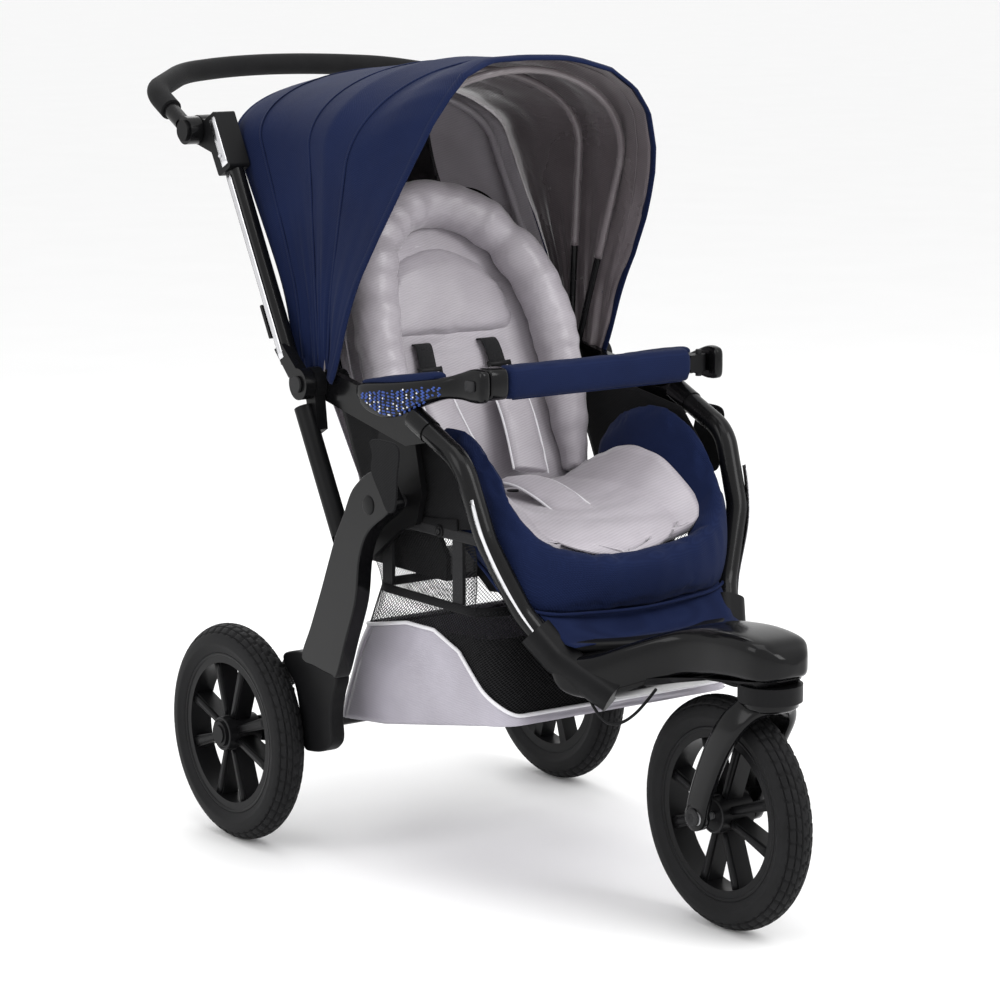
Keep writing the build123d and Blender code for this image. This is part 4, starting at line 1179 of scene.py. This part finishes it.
def diamond(obj):
    """Turns a square net into diamonds by putting a point in each face's middle."""
    points = [v.co.copy() for v in obj.data.vertices]
    edges = {}
    faces = []
    middles = {}
    for polygon in obj.data.polygons:
        middle = len(points)
        points.append(sum((points[i] for i in polygon.vertices), Vector()) / 4)
        middles[polygon.index] = middle
        loop = list(polygon.vertices)
        for a, b in zip(loop, loop[1:] + loop[:1]):
            edges.setdefault(tuple(sorted((a, b))), []).append(middle)
    for (a, b), mids in edges.items():
        if len(mids) == 2:
            faces.append((a, mids[0], b, mids[1]))
        else:
            faces.append((a, b, mids[0]))
    data = bpy.data.meshes.new(obj.name)
    data.from_pydata(points, [], faces)
    data.materials.append(obj.data.materials[0])
    obj.data = data
    return obj


# ------------------------------------------------------------------ wheels
WHEELS = (("front", "front_wheel", 0.0, -443.0), ("rear_left", "rear_left_wheel", 271.5, 272.0),
          ("rear_right", "rear_right_wheel", -271.5, 272.0))
AXLE_Z = 148.5


def tread_depth(phi, turn):
    """Groove depth in mm at an angle across the tread and a share of a pitch round the tyre."""
    a = abs(phi)
    if a > 62:
        return 0.0
    depth = 0.0
    for centre, wide in ((13, 2.0), (33, 2.2), (57, 1.6)):
        depth = max(depth, 2.6 * max(0.0, 1 - (abs(a - centre) / wide) ** 4))
    lag = 0.5 if (a > 13) else 0.0
    lag += 0.25 if phi > 0 else 0.0
    pos = (turn + lag + a / 160) % 1.0
    if a > 13 or a < 11:
        depth = max(depth, 2.4 if pos < 0.17 else 0.0)
    return depth


def tyre(name, body, x, y):
    angles = list(range(-139, -64, 6)) + list(np.arange(-64, 64.1, 2.0)) + list(range(70, 140, 6))
    pitch_count, per_pitch = 52, 6
    loops = []
    for phi in angles:
        f = radians(phi)
        loop = []
        for i in range(pitch_count * per_pitch):
            depth = tread_depth(phi, (i % per_pitch) / per_pitch)
            rho = 22.4 - depth
            if 96 < abs(phi) < 108:
                rho += 0.7
            if abs(phi) > 124:
                rho += 0.8
            a = 2 * pi * i / (pitch_count * per_pitch)
            r = 126 + rho * cos(f)
            loop.append((x + rho * sin(f), y + r * cos(a), AXLE_Z + r * sin(a)))
        loops.append(loop)
    obj = loops_mesh(f"{name}_tread_tyre", loops, "tyre_rubber", capped=False, closed=True)
    finish(obj, body, [f"{name}_tyre"])


def wheel_trim(name, body, x, y):
    for side in (-1, 1):
        if name != "front" and side * x < 0:
            continue
        tag = "a" if side < 0 else "b"
        ring = lathe(f"{name}_hub_ring_{tag}",
                     [(side * 24.6, 22.2), (side * 25.6, 22.2), (side * 25.9, 19.8),
                                               (side * 24.6, 19.6)], (x, y, AXLE_Z), "bush_plastic",
                                               56, True)
        finish(ring, body)
        lip = lathe(f"{name}_rim_lip_{tag}", [(side * 14.0, 110.2), (side * 16.6, 110.6),
                                              (side * 17.4, 108.6),
                                             (side * 16.6, 105.6), (side * 13.0, 103.5),
                                             (side * 12.4, 106)],
                    (x, y, AXLE_Z), "rim_plastic", 96, True)
        finish(lip, body)
        for pair in range(4):
            for leg in (-1, 1):
                inner = radians(90 * pair + leg * 20)
                outer = radians(90 * pair + leg * 19)
                start = (x + side * 11.6, y + 24 * cos(inner), AXLE_Z + 24 * sin(inner))
                end = (x + side * 9.6, y + 96 * cos(outer), AXLE_Z + 96 * sin(outer))
                line = [np.array(start) * (1 - t) + np.array(end) * t for t in np.linspace(0, 1, 7)]
                rib = sweep(f"{name}_spoke_{tag}_{pair}_{'l' if leg < 0 else 'r'}", line,
                            [(4.2, -3), (4.2, 1.5), (2.4, 3.4), (-2.4, 3.4), (-4.2, 1.5), (-4.2, -3)],
                            "rim_plastic", side=(0, -sin(outer), cos(outer)),
                            scale=np.linspace(0.85, 1.25, 7))
                finish(rib, body)


# ------------------------------------------------------------------ frame trim
LINE = ((41.0, 417.0), (313.0, 914.0))
ANGLE = atan2(LINE[1][1] - LINE[0][1], LINE[1][0] - LINE[0][0])


def on_line(z, behind=0.0):
    """Point on the handle tube's line at a height."""
    y = LINE[0][0] + (z - LINE[0][1]) / tan(ANGLE)
    return y + behind * sin(ANGLE), z - behind * cos(ANGLE)


def silver_strips():
    for side, name in SIDES:
        x = side * 253.3
        line = [(x, *on_line(z, -2.0)) for z in np.linspace(668, 900, 30)]
        strip = sweep(f"handle_silver_{name}", line, slab(11, 1.5), "polished",
                      side=(0, sin(ANGLE), -cos(ANGLE)))
        finish(strip, "handle_frame")
        face = [(side * 255.9, *on_line(z, -6.0)) for z in np.linspace(912, 972, 10)]
        cover = sweep(f"sleeve_silver_{name}", face, slab(15, 1.4), "polished",
                      side=(0, sin(ANGLE), -cos(ANGLE)))
        finish(cover, "handle_frame")
        path = curve_through([(212, -106, 603), (212, -176, 573), (203, -214, 478), (166, -238, 388),
                            (139, -276, 334), (108, -324, 297)], 14)
        part = path[int(len(path) * 0.3):int(len(path) * 0.8)]
        t, _, _ = frames(part)
        outer = []
        for p, direction in zip(part, t):
            out = np.array((1.0, -0.75, 0.25))
            out -= (out @ direction) * direction
            out /= np.linalg.norm(out)
            q = p + out * 13.9
            outer.append((side * q[0], q[1], q[2]))
        bar = sweep(f"leg_silver_{name}", outer, slab(8.5, 1.5), "polished", side=(0.0, 1.0, -0.35))
        finish(bar, "chassis")


def screw(name, x, y, z, body, radius=4.0, look="steel", side=-1):
    """Recessed screw head that faces sideways."""
    profile = [(0.0, radius), (side * 1.2, radius), (side * 1.8, radius * 0.8),
               (side * 1.8, radius * 0.5), (side * 0.8, radius * 0.42), (side * 0.8, 0.0)]
    finish(lathe(name, profile, (x, y, z), look, 24), body)


REAR_LEG = [(22, 483), (41, 452), (60, 412), (77, 375), (102, 324), (125, 277), (92, 270), (54, 266),
            (41, 267), (19, 318), (-5, 375), (-15, 433), (-37, 471), (-86, 505), (-78, 526), (-60, 545),
            (-40, 548), (-1, 521)]
LEG_STRAP = [(-48, 590), (-80, 594), (-111, 588), (-108, 552), (-103, 512), (-86, 503), (-68, 524),
             (-49, 551), (-52, 572)]
HOUSING = [(190, 267), (168, 276), (144, 279), (100, 274), (60, 262), (68, 232), (74, 205), (72, 173),
           (84, 158), (101, 151),
           (122, 147), (140, 148), (148, 170), (152, 200), (163, 232), (184, 250)]


def smooth_plate(name, outline, x0, x1, look, bevel, body, replaced=()):
    """Rounded plate through a smooth outline, one on each side of the chair."""
    for side, tag in SIDES:
        shape = curve_through(outline, 5, True)
        obj = plate(f"{name}_{tag}", shape, side * x0, side * x1, look, bevel, 4)
        finish(obj, body, replaced if side < 0 else ())


HOUSING_ROWS = [(-566, 5, 346, 358), (-563, 20, 339, 367), (-553, 32, 332, 376), (-534, 43, 326, 385),
                (-490, 47, 324, 389), (-440, 49, 318, 386), (-398, 60, 308, 378), (-356, 92, 286, 362),
                (-322, 126, 272, 346), (-294, 149, 278, 340),
                (-272, 152, 306, 340), (-262, 148, 318, 336)]

def front_cover():
    """Smooth glossy cover over the front housing, and the arched fork under it."""
    rows = curve_through([list(map(float, r)) for r in HOUSING_ROWS], 6)
    loops = []
    for y, half, low, high in rows:
        low, high = low + (high - low) * 0.12, high + 1.0
        loops.append([(a, y, (low + high) / 2 + b) for a, b in rounded_pairs(half, (high - low) / 2,
                                                                             0.42, 44)])
    cover = loops_mesh("front_cover", loops, "gloss_black")
    finish(cover, "chassis", ["front_housing_shell"])
    half = [(44, -437, 148), (44, -441, 168), (44.5, -457, 206), (44, -478, 246), (40, -499, 278),
            (28, -513, 297), (12, -520, 303), (0, -521, 303)]
    line = curve_through([(-x, y, z) for x, y, z in half] + [(x, y, z) for x, y, z in half[-2::-1]], 8)
    scale = [1.0 + 0.12 * sin(pi * i / (len(line) - 1)) for i in range(len(line))]
    arch = sweep("fork_arch", line, rounded_pairs(17.5, 6.8), "gloss_black", side=(0, 0.93, 0.36),
                 scale=scale)
    feet = [lathe("foot", [(-6.8, 10), (-6.8, 16.5), (-5.6, 17.6), (5.6, 17.6), (6.8, 16.5), (6.8, 10)],
                  (side * 44, -437, 148.5), "gloss_black", 40) for side in (-1, 1)]
    collar = lathe_up("collar", [(318, 24), (316, 34), (300, 35), (296, 30)], (0, -521), "gloss_black")
    finish(joined("fork_shell", [arch, collar] + feet), "front_fork", ["fork"])


def lathe_up(name, profile, centre, look, steps=48):
    """Turns (z, radius) pairs about an upright axis."""
    loops = [[(centre[0] + r * cos(a), centre[1] + r * sin(a), z)
              for a in round_angles(steps)] for z, r in profile]
    return loops_mesh(name, loops, look)


def legs_and_shells():
    """Smooth covers of the rear legs and their suspension, with leg caps, the front cover and a fabric
    strap by the legs.
    """
    smooth_plate("rear_leg_cover", REAR_LEG, 238.5, 261.5, "gloss_black", 5.0, "rear_frame",
                 ["rear_legs"])
    smooth_plate("suspension_cover", HOUSING, 228.0, 249.5, "matte_black", 6.0, "rear_frame",
                 ["suspension_housings"])
    for side, tag in SIDES:
        cap = [(0.0, 13), (side * 1.6, 12.4), (side * 2.2, 10.5), (side * 2.3, 0.0)]
        finish(lathe(f"leg_cap_{tag}", cap, (side * 261.0, -38, 505), "matte_black", 32), "rear_frame")
    front_cover()
    smooth_plate("leg_strap", LEG_STRAP, 262.2, 265.0, "black_fabric", 1.3, "chassis", ())


def fittings():
    for side, name in SIDES:
        y, z = on_line(926, -2)
        screw(f"sleeve_screw_{name}", side * 256.8, y, z, "handle_frame", 2.6, "steel", side)
        for k, (py, pz) in enumerate(((-104, 474), (-8, 474))):
            screw(f"rail_stud_{name}_{k}", side * 197.4, py, pz, "chassis", 8.0, "matte_black", side)
            screw(f"rail_stud_cap_{name}_{k}", side * 199.0, py, pz, "chassis", 3.4, "bush_plastic",
                  side)
    fork_screw = [(-0.5, 11.5), (-2.6, 11.5), (-3.6, 10.0), (-3.6, 5.5), (-2.2, 5.0), (-2.2, 0.0)]
    for side, name in SIDES:
        obj = lathe(f"front_axle_cap_{name}", [(-a * side, r) for a, r in fork_screw],
                    (side * 50.5, -437, 148.5), "bush_plastic", 40)
        finish(obj, "front_fork")


# ------------------------------------------------------------------ CAD nodes
def carry_over():
    """Gives each CAD node its procedural finish; nodes that are not listed get matte black."""
    looks = {"side_arms": "gloss_black", "front_housing_shell": "gloss_black",
        "bumper_brackets": "gloss_black",
        "fork": "gloss_black", "front_legs": "black_tube", "handlebar": "black_tube",
        "handle_tubes": "black_tube", "lower_struts": "matte_black", "handle_grip": "foam_grip",
        "canopy_rear_bow": "black_tube", "canopy_mid_bow": "black_tube",
        "canopy_front_bow": "black_tube",
        "lock_cable": "matte_black", "hinge_pins": "bush_plastic", "steering_bush": "bush_plastic",
        "suspension_springs": "spring_rubber", "fork_stem_and_axle": "steel", "basket_rails": "webbing",
        "front_rim": "rim_plastic", "rear_left_rim": "rim_plastic", "rear_right_rim": "rim_plastic",
        "rear_axle_tube": "black_tube", "bumper_bar": "matte_black", "buckle_button": "bush_plastic",}
    for name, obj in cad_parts.items():
        obj.data.materials.clear()
        obj.data.materials.append(M[looks.get(name, "matte_black")])


# ------------------------------------------------------------------ stage
def studio():
    half = 100.0
    data = bpy.data.meshes.new("floor")
    data.from_pydata([(x, y, 0.0) for y in np.linspace(-half, half, 5)
                      for x in np.linspace(-half, half, 5)], [], grid_faces(5, 5))
    floor = bpy.data.objects.new("floor", data)
    bpy.context.scene.collection.objects.link(floor)
    look = Look("floor_paper", (0.93, 0.93, 0.93), 0.7)
    look.colour(look.noise(3.0, 2.0), (0.0, (0.92, 0.92, 0.92)), (1.0, (0.95, 0.95, 0.95)))
    data.materials.append(look.material)

    world = bpy.data.worlds.new("studio")
    world.use_nodes = True
    world.node_tree.nodes["Background"].inputs[0].default_value = (1, 1, 1, 1)
    world.node_tree.nodes["Background"].inputs[1].default_value = 1.0
    bpy.context.scene.world = world

    def lamp(name, azimuth, height, distance, width, power, tint=(1, 1, 1)):
        light = bpy.data.lights.new(name, "AREA")
        light.shape = "RECTANGLE"
        light.size, light.size_y = width, width * 1.2
        light.energy = power
        light.color = tint
        obj = bpy.data.objects.new(name, light)
        bpy.context.scene.collection.objects.link(obj)
        a = radians(azimuth)
        obj.location = (-sin(a) * distance, -cos(a) * distance, height)
        aim = Vector((0, 0, 0.55)) - obj.location
        obj.rotation_euler = aim.to_track_quat("-Z", "Y").to_euler()

    lamp("key", -15, 2.9, 2.9, 1.7, 60)
    lamp("fill", 95, 1.9, 3.0, 1.5, 22)
    lamp("back", 195, 2.6, 2.8, 1.8, 30)
    lamp("top", 30, 3.6, 0.5, 2.2, 30)


def camera():
    a, e = CAMERA_AZIMUTH, CAMERA_RISE
    back = Vector((-sin(a) * cos(e), -cos(a) * cos(e), sin(e)))
    right = Vector((cos(a), -sin(a), 0))
    up = back.cross(right)
    target = Vector((0, -0.05925, 0.5))
    data = bpy.data.cameras.new("camera")
    data.sensor_width = SENSOR
    data.lens = FOCAL_LENGTHS * SENSOR
    data.shift_x = -0.0379
    data.shift_y = -0.01115
    obj = bpy.data.objects.new("camera", data)
    bpy.context.scene.collection.objects.link(obj)
    turn = Matrix((right, up, back)).transposed().to_4x4()
    obj.matrix_world = Matrix.Translation(target + CAMERA_DISTANCE * back) @ turn
    bpy.context.scene.camera = obj
    bpy.context.scene.view_settings.view_transform = "Standard"


carry_over()
camera()
control_cable()
canopy()
rear_curtain()
back_cushions()
seat()
belts()
side_walls()
leg_cloth()
bumper()
basket()
for wheel_name, wheel_body, wheel_x, wheel_y in WHEELS:
    tyre(wheel_name, wheel_body, wheel_x, wheel_y)
    wheel_trim(wheel_name, wheel_body, wheel_x, wheel_y)
silver_strips()
legs_and_shells()
fittings()
studio()
